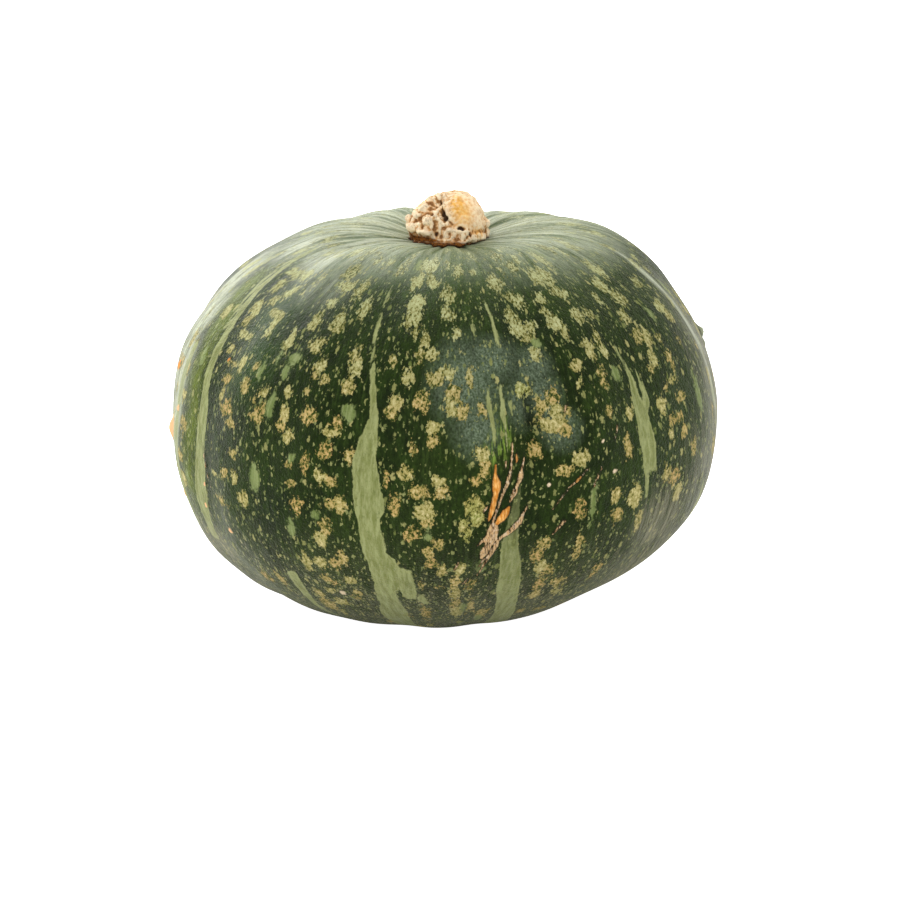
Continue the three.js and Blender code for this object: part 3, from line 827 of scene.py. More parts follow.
def field(tree, name, output="Fac"):
    """A field that hangs on the mesh, by name."""
    node = tree.nodes.new("ShaderNodeAttribute")
    node.attribute_name = name
    return node.outputs[output]


def ragged(tree, distance, *rough):
    """A signed distance with noises added, each given as noise output and millimetres of swing."""
    for wobble, swing in rough:
        distance = calc(tree, "MULTIPLY_ADD", wobble, swing, distance)
    return distance


def parts_of(tree, colour):
    node = tree.nodes.new("ShaderNodeSeparateColor")
    feed(tree, node.inputs[0], colour)
    return node.outputs


def new_material(name):
    material = bpy.data.materials.new(name)
    material.use_nodes = True
    return material, material.node_tree, material.node_tree.nodes["Principled BSDF"]


def add_bump(tree, shader, height, distance_mm, strength):
    node = tree.nodes.new("ShaderNodeBump")
    node.inputs["Strength"].default_value = strength
    node.inputs["Distance"].default_value = distance_mm * MM
    feed(tree, node.inputs["Height"], height)
    tree.links.new(node.outputs[0], shader.inputs["Normal"])


print("a deep green in linear light:", [round(part, 4) for part in paint(30, 43, 15)])

# %% [markdown]
# ## Cork
#
# The stem is dry cork, and the scars on the rind are cork that the fruit grew over a scratch. Both
# have the same look: pale crumbly ridges, ochre where it is freshest and brown in the cracks. It is
# used by two materials, so it is one node group, built once, fed with a place in millimetres.

# %% The cork group
cork_group = bpy.data.node_groups.new("cork_grain", "ShaderNodeTree")
for name, way_through, kind in (
    ("Place", "INPUT", "Vector"), ("Freshness", "INPUT", "Float"), ("Crumble", "INPUT", "Float"),
    ("Color", "OUTPUT", "Color"), ("Height", "OUTPUT", "Float"),
):
    cork_group.interface.new_socket(name, in_out=way_through, socket_type="NodeSocket" + kind)
tree = cork_group
group_in = tree.nodes.new("NodeGroupInput").outputs
group_out = tree.nodes.new("NodeGroupOutput").inputs
place = group_in["Place"]
clouds = noise(tree, place, 3.2, detail=4)
crumbs = noise(tree, place, 0.9, detail=4, roughness=0.65)
cracks = noise(tree, stretched(tree, place, (1, 1, 0.45), (7, 3, 1)), 1.5, detail=3, centred=True)
cracks = ragged(tree, calc(tree, "ABSOLUTE", cracks), (crumbs, 0.05))
crack_depth = times(tree, between(tree, cracks, 0.02, 0.06, 1.0, 0.0), group_in["Crumble"])
fresh = calc(tree, "MULTIPLY_ADD", clouds, 0.4, group_in["Freshness"])
dry = blend(tree, between(tree, crumbs, 0.2, 0.7), paint(244, 204, 152), paint(255, 236, 200))
ochre = blend(tree, between(tree, crumbs, 0.3, 0.8), paint(238, 168, 62), paint(255, 216, 134))
cork_colour = layered(
    tree, dry,
    (between(tree, fresh, 0.2, 0.75), ochre),
    (between(tree, clouds, 0.5, 0.7, 0.0, 0.45), paint(196, 138, 80)),
    (times(tree, crack_depth, 0.6), paint(112, 70, 36)),
)
grain = calc(tree, "MULTIPLY_ADD", crumbs, 0.4, times(tree, crack_depth, -0.4))
tree.links.new(cork_colour, group_out["Color"])
tree.links.new(grain, group_out["Height"])


def cork_grain(tree, place, freshness, crumble):
    """The cork group in a material: its colour and its height."""
    node = tree.nodes.new("ShaderNodeGroup")
    node.node_tree = cork_group
    for name, value in (("Place", place), ("Freshness", freshness), ("Crumble", crumble)):
        feed(tree, node.inputs[name], value)
    return node.outputs["Color"], node.outputs["Height"]


print("cork group nodes:", len(cork_group.nodes))

# %% [markdown]
# ## The rind's finish
#
# The rind is layered the way it grew, with painted light and shade laid in. First the dark green
# skin, a little streaky, with the soft tints over it: olive furrows, a painted highlight on the wax,
# pale fibres round the stem with a painted glancing sheen, and painted shade in the fold, the
# wrinkles and the furrows. Then thousands of small pale flecks in three layers, then the corky
# blotches with a marbled inside, then the smooth stripes and a thin haze of painted bounce light, and
# last the scars, with a painted shadow round them, and the warts. Every layer's edge is a field cut
# by noise, so nothing repeats and nothing is sharp where a living skin would be soft.

# %% Skin, streaks, a painted highlight on the wax, and painted shade
CROWN_FROM, CROWN_TO = 74, 104  # millimetres up the rib from the girth
SHOULDER_FROM, SHOULDER_TO = 66, 114
rind_material, tree, shader = new_material("rind")
place = field(tree, "grown", "Vector")
up = parts_of(tree, place)[2]
along = stretched(tree, place, (1, 1, 0.45))
broad = noise(tree, place, 26, detail=3)
mottle = noise(tree, along, 3.4, detail=4, roughness=0.6)
fine = noise(tree, along, 0.75, detail=3, roughness=0.6)
grain = noise(tree, place, 0.34, detail=2)
pebble = noise(tree, place, 0.7, detail=2)
fibres = noise(tree, stretched(tree, place, (1, 1, 0.09)), 1.1, detail=3)
thin_fibre = noise(tree, stretched(tree, place, (1, 1, 0.16), (3, 1, 7)), 0.8, detail=2)
crown_fibre = noise(tree, stretched(tree, place, (0.36, 0.36, 0.08), (6, 2, 3)), 1.5, detail=3)

# pale fibres with a painted glancing sheen, broken into streaks
frost_and_sheen = field(tree, "frost_and_sheen")
frost_and_sheen_fibres = times(tree, frost_and_sheen, between(tree, crown_fibre, 0.34, 0.58, 0.3, 1.0))
frost_and_sheen_fibres = times(tree, frost_and_sheen_fibres, between(tree, fibres, 0.36, 0.56, 0.6, 1.05))
# painted shade in the wrinkles round the stem, inside the pale crown
groove = times(tree, between(tree, field(tree, "wrinkle"), 0.2, 0.9, 0.0, 0.85), frost_and_sheen)
shoulder = calc(tree, "MULTIPLY_ADD", mottle, 24.0, up)
fine_tint = blend(tree, between(tree, fine, 0.3, 0.7), paint(96, 100, 88), paint(255, 255, 250))
vivid = times(tree, field(tree, "vivid"), between(tree, thin_fibre, 0.45, 0.58, 0.05, 1.0))
skin = layered(
    tree, paint(30, 43, 15),
    (between(tree, broad, 0.35, 0.65), paint(44, 58, 23)),
    (between(tree, mottle, 0.4, 0.68, 0.0, 0.5), paint(56, 76, 30)),
    (between(tree, fibres, 0.52, 0.7, 0.0, 0.35), paint(70, 88, 40)),
    (times(tree, field(tree, "olive"), between(tree, mottle, 0.3, 0.6, 0.5, 0.9)), paint(116, 130, 36)),
    # a painted soft highlight on the wax, broken by the pebbled relief
    (times(tree, field(tree, "wax_highlight"), between(tree, pebble, 0.38, 0.62, 0.4, 1.0)), paint(126, 139, 121)),
    # painted shade along the fold
    (times(tree, field(tree, "fold"), 0.75), paint(26, 34, 22)),
    (times(tree, field(tree, "green"), 0.6), paint(44, 78, 12)),
    (between(tree, shoulder, SHOULDER_FROM, SHOULDER_TO, 0.0, 0.8), paint(88, 112, 50)),
    # pale fibres with a painted glancing sheen
    (frost_and_sheen_fibres, paint(228, 230, 210)),
    # painted shade in the wrinkles
    (groove, paint(72, 102, 52)),
    (vivid, paint(136, 160, 72)),
    (0.55, fine_tint, "MULTIPLY"),
    # painted shade in the furrows
    (between(tree, field(tree, "furrow_shade"), 0.25, 1.0, 0.0, 0.22), paint(24, 34, 16)),
)
print("nodes of the bare skin:", len(tree.nodes))

# %% Small flecks in three layers
FLECKS_BELOW = (-50, -12)  # the third layer thickens downward between these, millimetres up the rib
wander = tree.nodes.new("ShaderNodeTexNoise")
wander.inputs["Scale"].default_value = 0.9
wander.inputs["Detail"].default_value = 2
feed(tree, wander.inputs["Vector"], place)
warp_node = tree.nodes.new("ShaderNodeVectorMath")
warp_node.operation = "MULTIPLY_ADD"
warp_node.inputs[1].default_value = (1.5, 1.5, 1.9)
feed(tree, warp_node.inputs[0], wander.outputs["Color"])
feed(tree, warp_node.inputs[2], place)
warp = warp_node.outputs[0]


def fleck_layer(size, smallest, largest, share, seed_shift, dark, light):
    """Dashes from one cell each, on only a share of the cells: their mask and their colour."""
    cell = cells(tree, stretched(tree, warp, (1, 1, 0.55), seed_shift), size)
    chance, spread, tone = list(parts_of(tree, cell["Color"]))[:3]
    reach = calc(tree, "MULTIPLY_ADD", spread, (largest - smallest) / size, smallest / size)
    reach = calc(tree, "MULTIPLY_ADD", calc(tree, "SUBTRACT", fine, 0.5), 0.9 / size, reach)
    inside = between(tree, calc(tree, "SUBTRACT", reach, cell["Distance"]), -0.05, 0.08)
    mask = times(tree, inside, calc(tree, "LESS_THAN", chance, share))
    return mask, blend(tree, tone, paint(*dark), paint(*light))


crowding = between(tree, noise(tree, place, 17, detail=2), 0.34, 0.56, 0.5, 1.0)
low_share = between(tree, up, *FLECKS_BELOW, 0.95, 0.0)
small_mask, small_colour = fleck_layer(
    1.35, 0.15, 0.5, crowding, (0, 0, 0), (106, 116, 66), (180, 178, 122)
)
large_mask, large_colour = fleck_layer(
    2.7, 0.3, 0.8, crowding, (31, 17, 5), (118, 126, 70), (194, 183, 126)
)
low_mask, low_colour = fleck_layer(
    1.15, 0.16, 0.5, low_share, (11, 23, 3), (124, 128, 84), (196, 184, 132)
)
spotted = layered(
    tree, skin,
    (times(tree, small_mask, 0.7), small_colour),
    (times(tree, large_mask, 0.78), large_colour),
    (times(tree, low_mask, 0.75), low_colour),
)
print("nodes with the flecks:", len(tree.nodes))

# %% Corky blotches, marbled inside
lobes = noise(
    tree, stretched(tree, place, (1, 1, 0.75), (9, 4, 2)), 2.3, detail=2, roughness=0.5, centred=True
)
fringe = noise(
    tree, stretched(tree, place, (1, 1, 0.8)), 0.95, detail=3, roughness=0.65, centred=True
)
veins = noise(tree, stretched(tree, place, (1, 1, 0.8), (3, 8, 1)), 0.95, detail=3, roughness=0.68)
blotch_edge = ragged(tree, field(tree, "blotch_mm"), (lobes, 4.0), (fringe, 4.2))
blotch_edge = calc(tree, "ADD", blotch_edge, 0.15)
edge_blur = between(tree, up, CROWN_FROM, 100, 0.35, 1.1)
blotch_mask = between(tree, blotch_edge, -0.25, edge_blur)
tone = field(tree, "blotch_tone")
vein_level = calc(tree, "MULTIPLY_ADD", blotch_edge, 0.035, veins)
vein_level = calc(tree, "ADD", vein_level, between(tree, tone, 0.0, 1.0, -0.05, 0.03))
vein_mask = between(tree, vein_level, 0.38, 0.49)
towards_crown = between(tree, up, 16, SHOULDER_FROM)
on_crown = between(tree, up, CROWN_FROM, CROWN_TO)
# towards the crown the blotches pale to cream, partly a painted highlight washing the top
cork_tan = layered(
    tree, paint(200, 170, 112),
    (between(tree, tone, 0.55, 0.8), paint(186, 172, 114)),
    (between(tree, tone, 0.12, 0.3, 0.8, 0.0), paint(214, 170, 114)),
    (times(tree, field(tree, "yellow"), 0.8), paint(172, 178, 106)),
    (towards_crown, paint(184, 182, 134)),
    (on_crown, paint(208, 208, 172)),
)
cork_pale = layered(
    tree, paint(232, 214, 166), (towards_crown, paint(208, 208, 166)), (on_crown, paint(228, 228, 204))
)
blotch_colour = layered(
    tree, paint(58, 70, 28),
    (vein_mask, paint(142, 132, 72)),
    (between(tree, vein_level, 0.45, 0.57), cork_tan),
    (between(tree, vein_level, 0.57, 0.74, 0.0, 0.9), cork_pale),
)
covered = blend(tree, times(tree, blotch_mask, 0.94), spotted, blotch_colour)
print("nodes with the blotches:", len(tree.nodes))

# %% Sage flecks, stripes and a haze of painted light
fleck_edge = ragged(tree, field(tree, "fleck_mm"), (lobes, 2.6), (fringe, 2.6))
sage = blend(tree, between(tree, fibres, 0.35, 0.65), paint(124, 138, 80), paint(158, 166, 114))
sway = noise(tree, stretched(tree, place, (1, 1, 0.4), (5, 5, 5)), 3.0, detail=3, centred=True)
stripe_fibre = noise(
    tree, stretched(tree, place, (1, 1, 0.22), (4, 2, 8)), 1.6, detail=4, roughness=0.7
)
stripe_edge = ragged(tree, field(tree, "stripe_mm"), (sway, 2.4), (fringe, 0.9))
stripe_mask = between(tree, stripe_edge, -0.25, 0.25)
stripe_colour = layered(
    tree, paint(128, 132, 80),
    (between(tree, stripe_fibre, 0.34, 0.66), paint(168, 170, 122)),
    (between(tree, veins, 0.56, 0.7, 0.0, 0.4), paint(96, 108, 56)),
    (between(tree, stripe_edge, 0.2, 0.9, 0.4, 0.0), paint(178, 178, 126)),
)
haze_fibre = noise(
    tree, stretched(tree, place, (1, 1, 0.09), (2, 7, 3)), 1.2, detail=5, roughness=0.7
)
covered = layered(
    tree, covered,
    (between(tree, fleck_edge, -0.5, 0.5, 0.0, 0.85), sage),
    (times(tree, stripe_mask, field(tree, "stripe_share")), stripe_colour),
    (1.0, paint(236, 241, 228), "MULTIPLY"),
    # the painted glancing sheen laid over the blotches and stripes too
    (times(tree, frost_and_sheen_fibres, 0.28), paint(222, 226, 204)),
    # a paler streaky haze of painted glancing and bounce light
    (times(tree, field(tree, "painted_light_haze"), between(tree, haze_fibre, 0.36, 0.64, 0.1, 0.7)), paint(172, 166, 138)),
)
print("nodes with the stripes and the haze:", len(tree.nodes))

# %% Scars, warts and the last touches
scar_cork, scar_grain = cork_grain(tree, stretched(tree, place, (1.5, 1.5, 0.7)), -0.2, 1.0)
slivers = noise(
    tree, stretched(tree, place, (1.3, 1.3, 0.28), (2, 9, 4)), 0.7, detail=2, centred=True
)
brown_mm = field(tree, "brown_mm")
orange_mm = field(tree, "orange_mm")
scar_core = between(tree, ragged(tree, brown_mm, (slivers, 1.4), (fringe, 0.8)), -0.06, 0.2)
scar_colour = layered(
    tree, paint(84, 62, 42),
    (scar_core, blend(tree, 0.8, scar_cork, paint(202, 182, 152), "MULTIPLY")),
    (between(tree, slivers, -0.14, -0.03, 0.9, 0.0), paint(58, 42, 28)),
    (between(tree, fringe, 0.03, 0.16, 0.0, 0.6), paint(236, 214, 184)),
)
sliver_swing = between(tree, brown_mm, 0.0, 1.0, 0.5, 3.6)
brown_edge = ragged(tree, brown_mm, (fringe, 0.5), (slivers, sliver_swing))
brown_mask = between(tree, calc(tree, "ADD", brown_edge, 0.08), -0.1, 0.12)
orange_edge = ragged(tree, orange_mm, (fringe, 0.6))
orange_mask = between(tree, orange_edge, -0.1, 0.12)
orange = layered(
    tree, paint(250, 196, 118),
    (between(tree, slivers, -0.2, 0.12), paint(218, 138, 50)),
    (between(tree, slivers, 0.08, 0.2, 0.0, 0.7), paint(176, 104, 36)),
    (between(tree, orange_edge, 0.0, 0.4, 0.85, 0.0), paint(132, 84, 40)),
)
button_top = float(along_mm(-90.0)) + BUTTON_RADIUS
button = between(tree, ragged(tree, up, (fringe, 2.0)), button_top - 0.4, button_top + 0.2, 1.0, 0.0)
rightward = parts_of(tree, place)[0]
wart_colour = layered(
    tree, paint(226, 146, 66),
    (between(tree, broad, 0.45, 0.5), paint(236, 190, 140)),
    (between(tree, rightward, -64, -52), paint(226, 204, 170)),
    (between(tree, rightward, 60, 80), paint(150, 156, 128)),
)
on_wart = between(tree, field(tree, "wart"), 0.35, 0.8)
any_scar_mm = calc(tree, "MAXIMUM", brown_mm, orange_mm)
covered = layered(
    tree, covered,
    # a painted shadow round the foot of the raised scars
    (between(tree, any_scar_mm, -0.8, 0.1, 0.0, 0.75), paint(30, 32, 18)),
    (button, scar_colour),
    (brown_mask, scar_colour),
    (orange_mask, orange),
    (on_wart, wart_colour),
)
tree.links.new(covered, shader.inputs["Base Color"])
print("nodes with the scars and warts:", len(tree.nodes))

# %% [markdown]
# ## The rind's gloss and fine relief
#
# A kabocha is only half glossy: the green skin shines softly, the corky parts hardly at all. The
# masks of the blotches, the large flecks, the scars and the warts are used again here to roughen
# them. The fine relief is bump, not geometry, because it is smaller than the grid. It costs time in
# every sample, so only layers whose relief can be seen go into it.

# %% Roughness and fine relief of the rind
roughness = between(tree, mottle, 0.3, 0.7, 0.34, 0.46)
scar_mask = calc(tree, "MAXIMUM", brown_mask, orange_mask)
for mask, rougher in ((blotch_mask, 0.66), (large_mask, 0.55), (scar_mask, 0.88), (on_wart, 0.7)):
    step = calc(tree, "SUBTRACT", rougher, roughness)
    roughness = calc(tree, "MULTIPLY_ADD", step, mask, roughness)
tree.links.new(roughness, shader.inputs["Roughness"])
lumps = noise(tree, place, 5.5, detail=2)
scar_height = times(tree, scar_mask, scar_grain)
height = times(tree, grain, 0.1)
for layer, lift in (
    (lumps, 0.8), (pebble, 0.5), (fine, 0.2), (mottle, 0.3), (blotch_mask, 0.1), (vein_mask, 0.12),
    (fibres, 0.08), (scar_height, 0.9),
):
    height = calc(tree, "MULTIPLY_ADD", layer, lift, height)
add_bump(tree, shader, height, 1.0, 0.8)
for socket_name, value in {
    "Specular IOR Level": 0.075, "Specular Tint": paint(214, 232, 190),
    "Sheen Weight": 0.17, "Sheen Roughness": 0.3, "Sheen Tint": paint(222, 230, 182),
    "Coat Weight": 0.02, "Coat Roughness": 0.18,
}.items():
    shader.inputs[socket_name].default_value = value
rind.data.materials.append(rind_material)
print("rind nodes:", len(tree.nodes))

# %% [markdown]
# ## The stem
#
# The stem has dried into a corky stub: two big domes, with small crumbly lobes that hang round the
# foot like a frill. It could be cut from one displaced sphere, but a sphere can't fold back under
# its own lobes. So plain ellipsoids are laid together like clay, melted into one skin with a voxel
# remesh, and that skin is then creased, pitted and roughened.
#
# The front lobes are placed as they are seen from a little above the floor: so far right, and so
# far up, in millimetres from the bottom of the stem basin. The depth follows from the domes.

# %% Domes and lobes, in millimetres from the basin's floor
VIEW_RISE = math.radians(18)  # how far above the floor's level the viewer looks from
DOMES = [
    ((2.0, 0.0, 5.4), (9.4, 10.2, 11.5)),
    ((-4.5, -0.2, 4.8), (9.0, 9.6, 10.0)),
    ((-1.0, 0.3, 5.5), (8.0, 8.6, 11.0)),
    ((-0.4, 0.2, 2.6), (12.2, 11.6, 2.8)),
]  # middle, half sizes
FRONT_LOBES = [
    (-11.8, 4.0, 2.5, 2.1), (-7.1, 6.2, 2.4, 1.9), (-8.5, 10.0, 2.1, 1.7), (-5.6, 13.0, 2.1, 1.4),
    (-7.5, 2.6, 2.2, 1.6), (-9.6, 2.8, 1.7, 1.4), (-4.9, 7.7, 1.0, 0.9), (-4.1, 6.5, 1.0, 0.9),
    (-3.3, 5.4, 1.0, 0.9), (-2.2, 4.8, 1.2, 0.8), (-4.6, 9.2, 1.4, 0.8), (-2.6, 10.2, 0.9, 1.3),
    (-3.4, 2.9, 1.0, 1.7), (-1.7, 1.5, 1.5, 1.7), (-0.4, 3.2, 1.2, 0.9), (1.2, 1.6, 1.2, 2.0),
    (3.6, 1.4, 1.2, 2.1), (5.2, 2.4, 0.9, 1.4), (6.8, 0.6, 1.7, 1.7), (8.6, 1.4, 1.0, 1.5),
    (10.1, 0.9, 1.5, 1.8), (11.6, 2.4, 1.1, 2.0), (-10.2, 8.3, 1.9, 1.5), (-13.3, 7.2, 1.3, 1.4),
    (-13.6, 5.2, 1.0, 1.2), (-3.3, 13.9, 2.0, 1.4), (-12.2, 2.4, 1.2, 1.0), (-6.4, 4.4, 1.3, 1.0),
    (-9.4, 5.4, 1.4, 1.1), (11.9, 5.6, 1.0, 1.4), (-11.9, 6.4, 1.2, 1.0), (2.4, 2.9, 0.8, 1.0),
]  # right, up, half width, half height
PLATE = [
    (-12.4, -0.4), (-10.6, -1.0), (-8.6, -1.4), (-6.6, -1.7), (-4.4, -1.9), (-2.0, -2.0), (0.6, -2.0),
    (3.0, -1.9),
]  # right and up of the dark shelf under the front lobes
PLATE_RADIUS = 12.6
BACK_LOBES = 30
FRILL = (12.0, 10.6)  # half sizes of the ring on which the back lobes hang
MISSED_DEPTH = -2.0  # for a lobe that is placed beside the domes


def front_of_domes(right, up):
    """Where the line of sight at a place in the view first meets the domes."""
    best = None
    slope = math.tan(VIEW_RISE)
    for (cx, cy, cz), (a, b, c) in DOMES:
        base = up / math.cos(VIEW_RISE) - cz
        square = 1 / b**2 + (slope / c) ** 2
        half = cy / b**2 + slope * base / c**2
        rest = ((right - cx) / a) ** 2 + (cy / b) ** 2 + (base / c) ** 2 - 1
        inside = half**2 - square * rest
        if inside > 0:
            depth = (half - math.sqrt(inside)) / square
            best = depth if best is None else min(best, depth)
    depth = MISSED_DEPTH if best is None else best
    return np.array([right, depth, up / math.cos(VIEW_RISE) - depth * slope])


lobe_random = np.random.default_rng(12)
lumps = list(DOMES)
for right, up, half_width, half_height in FRONT_LOBES:
    middle = front_of_domes(right, up)
    lumps.append((middle + (0, half_width * 0.15, 0), (half_width, half_width * 1.05, half_height)))
for number in range(BACK_LOBES):
    turn = math.radians(-8 + 200 * number / (BACK_LOBES - 1))
    level = lobe_random.uniform(2.6, 6.2) if number % 2 else lobe_random.uniform(5.5, 9.5)
    size = lobe_random.uniform(1.2, 2.4)
    reach = 0.97 - 0.035 * max(level - 4, 0)
    middle = (FRILL[0] * reach * math.cos(turn) - 0.6, FRILL[1] * reach * math.sin(turn), level)
    lumps.append((middle, (size, size, size * lobe_random.uniform(0.8, 1.2))))
for right, up in PLATE:
    depth = -math.sqrt(max(PLATE_RADIUS**2 - right**2, 4))
    level = (up - depth * math.sin(VIEW_RISE)) / math.cos(VIEW_RISE) + 0.3
    lumps.append(((right, depth + 0.9, level), (1.9, 2.0, 0.85)))
print("stem lumps:", len(lumps))

# %% Melt the lumps into one skin
VOXEL = 0.27
ball_mesh = bpy.data.meshes.new("ball")
ball_builder = bmesh.new()
bmesh.ops.create_icosphere(ball_builder, subdivisions=4, radius=1)
ball_builder.to_mesh(ball_mesh)
ball_builder.free()
ball_faces = np.array([tuple(face.vertices) for face in ball_mesh.polygons])


def read_rows(things, attribute, width, kind=float):
    """An attribute of a mesh's points or edges as an array with a row for each."""
    flat = np.empty(len(things) * width, kind)
    things.foreach_get(attribute, flat)
    return flat.reshape(-1, width)


ball_points = read_rows(ball_mesh.vertices, "co", 3)
bpy.data.meshes.remove(ball_mesh)
lump_points = np.concatenate([np.array(middle) + ball_points * np.array(half) for middle, half in lumps])
lump_faces = np.concatenate([ball_faces + len(ball_points) * number for number in range(len(lumps))])
lump_mesh = bpy.data.meshes.new("stem_lumps")
lump_mesh.from_pydata(lump_points.tolist(), [], lump_faces.tolist())
lump_object = bpy.data.objects.new("stem_lumps", lump_mesh)
bpy.context.scene.collection.objects.link(lump_object)
melt = lump_object.modifiers.new("melt", "REMESH")
melt.mode = "VOXEL"
melt.voxel_size = VOXEL
melted = lump_object.evaluated_get(bpy.context.evaluated_depsgraph_get()).to_mesh()
stem_mm = read_rows(melted.vertices, "co", 3)
stem_edges = read_rows(melted.edges, "vertices", 2, int)
stem_faces = [tuple(face.vertices) for face in melted.polygons]
bpy.data.objects.remove(lump_object)
print("melted stem:", len(stem_mm), "points")

# %% Smooth, crease, pit and roughen
PITS = [
    (-1.6, 6.9, 0.7, 0.9, 1.7), (-2.3, 8.4, 0.5, 1.1, 1.3), (3.0, 3.7, 1.0, 0.5, 1.5),
    (3.9, 3.4, 0.6, 0.5, 1.3), (-6.0, 8.2, 0.7, 0.5, 0.6), (-4.6, 1.6, 0.6, 0.8, 0.9),
    (6.4, 1.6, 0.3, 0.9, 0.8),
]  # right, up, half width, half height, depth
CREASES = [
    (-2.6, 15.0, -3.2, 12.4, 0.4), (-3.2, 12.4, -2.4, 8.8, 0.7), (-2.4, 8.8, -1.4, 6.6, 0.9),
    (-1.4, 6.6, 0.6, 4.8, 0.5), (0.6, 4.8, 3.0, 3.8, 0.3), (4.4, 3.4, 8.6, 2.8, 0.2),
    (-6.6, 12.0, -4.4, 10.6, 0.4), (-9.9, 6.8, -8.4, 7.8, 0.4), (-9.6, 6.0, -9.0, 3.4, 0.4),
    (-5.2, 5.8, -4.9, 2.2, 0.4), (-2.6, 3.6, -2.9, 0.8, 0.3),
]  # from right and up to right and up, depth
CREASE_WIDTH = 0.5
edge_ends = np.concatenate([stem_edges, stem_edges[:, ::-1]])
edge_counts = np.maximum(np.bincount(edge_ends[:, 0], minlength=len(stem_mm)), 1)


def relaxed(values, share):
    """Each point's value drawn a share of the way to the mean of its neighbours."""
    columns = values.reshape(len(values), -1).T
    sums = [np.bincount(edge_ends[:, 0], column[edge_ends[:, 1]], len(values)) for column in columns]
    mean = (np.array(sums).T / edge_counts[:, None]).reshape(values.shape)
    return values * (1 - share) + mean * share


def outward(points):
    """Unit normals of the stem's skin from its quads."""
    quads = np.array([face[:4] if len(face) > 3 else (*face, face[2]) for face in stem_faces])
    first, second, third, fourth = (points[quads[:, corner]] for corner in range(4))
    across = np.cross(third - first, fourth - second)
    normals = np.zeros_like(points)
    for corner in range(4):
        for axis in range(3):
            normals[:, axis] += np.bincount(quads[:, corner], across[:, axis], len(points))
    return normals / np.maximum(np.linalg.norm(normals, axis=1), 1e-9)[:, None]


for _ in range(3):
    stem_mm = relaxed(stem_mm, 0.6)
stem_out = outward(stem_mm)
seen_right = stem_mm[:, 0]
seen_up = stem_mm[:, 2] * math.cos(VIEW_RISE) + stem_mm[:, 1] * math.sin(VIEW_RISE)
faces_front = np.clip(0.25 - stem_out[:, 1], 0, 0.5) * 2


def seen_bell(right, up, width, squash=1.0):
    """A soft round patch in the view, made taller by a squash under 1."""
    return bell(np.hypot(seen_right - right, (seen_up - up) * squash), width)


def seen_stroke(from_right, from_up, to_right, to_up):
    """Distance in the view from a stroke."""
    way = np.array([to_right - from_right, to_up - from_up])
    share = ((seen_right - from_right) * way[0] + (seen_up - from_up) * way[1]) / (way @ way)
    share = np.clip(share, 0, 1)
    return np.hypot(seen_right - from_right - share * way[0], seen_up - from_up - share * way[1])


def cloud(points, size, shift_by):
    """Fractal noise at each point, with features about size millimetres across."""
    place = points / size + shift_by
    return np.array([mathutils.noise.fractal(p, 0.6, 2.1, 3) for p in place.tolist()])


push = np.zeros(len(stem_mm))
for right, up, half_width, half_height, depth in PITS:
    reach = np.hypot((seen_right - right) / half_width, (seen_up - up) / half_height)
    push = np.maximum(push, depth * bell(reach, 1.0))
for *stroke, depth in CREASES:
    push = np.maximum(push, depth * bell(seen_stroke(*stroke), CREASE_WIDTH))
push *= faces_front
on_dome = seen_bell(5.5, 9, 6.5, 0.8)
coarse_noise = cloud(stem_mm, 2.6, 3.0)
crumb_noise = cloud(stem_mm * (1, 1, 0.7), 0.95, 11.0)
ridges = 0.5 - np.abs(cloud(stem_mm * (1, 1, 0.55), 1.7, 23.0))
rough = coarse_noise * (0.5 - 0.3 * on_dome) + crumb_noise * (0.1 - 0.06 * on_dome)
rough += (ridges - 0.3) * 0.22 * (1 - on_dome * 0.95)
stem_mm = relaxed(stem_mm + stem_out * (rough - push)[:, None], 0.3)
print("deepest pit, mm:", push.max().round(2))

# %% Seat the stem on the skin
SEAT_GAP = 0.12
ABOVE_ALL = 0.3  # metres, where the rays start
rind_tree = BVHTree.FromObject(rind, bpy.context.evaluated_depsgraph_get())


def skin_level(points):
    """Height of the fine skin under each point, in the formula's millimetres."""
    world = (points + crown_floor + shift) * MM
    levels = np.empty(len(points))
    for number, (x, y, _) in enumerate(world.tolist()):
        hit = rind_tree.ray_cast((x, y, ABOVE_ALL), (0, 0, -1))[0]
        levels[number] = hit.z / MM - shift[2] - crown_floor[2]
    return levels


level = skin_level(stem_mm)
stem_mm[:, 2] = np.maximum(stem_mm[:, 2], level + SEAT_GAP)
above = stem_mm[:, 2] - level
print("stem size, mm:", np.ptp(stem_mm, axis=0).round(1), "from", stem_mm.min(0).round(1))

# %% The stem's own fields
OCHRES = [
    (2.2, 11.2, 2.2, 0.7, 1.4), (3.8, 8.6, 4.2, 0.7, 0.75), (9.0, 2.4, 2.2, 1.0, 0.75),
    (-2.6, 10.2, 1.0, 0.7, 0.7),
]  # right, up, width, squash, strength of the yellow patches
PLATE_TOP_RIGHTS = (-14.5, -12.0, -8.2, -5.0, -3.0, 3.0, 6.0, 9.0)
PLATE_TOP_UPS = (3.4, 1.9, 1.1, 0.3, -0.6, -0.8, -1.4, -3.0)
HOLLOW_CURVE = 0.045  # millimetres of relief between no hollow at all and a full one
mean_gap = (stem_mm - relaxed(stem_mm, 1)) * outward(stem_mm)
curve = mean_gap.sum(axis=1)
for _ in range(5):
    curve = relaxed(curve, 0.6)
# how hollow each point is, for painted shade in the hollows and a painted highlight on the ridges; the bell
# adds painted shadow between the dome and the lobes at the upper left
hollow = np.clip(0.5 - curve / HOLLOW_CURVE + 0.25 * seen_bell(-5.8, 11.8, 2.2), 0, 1)
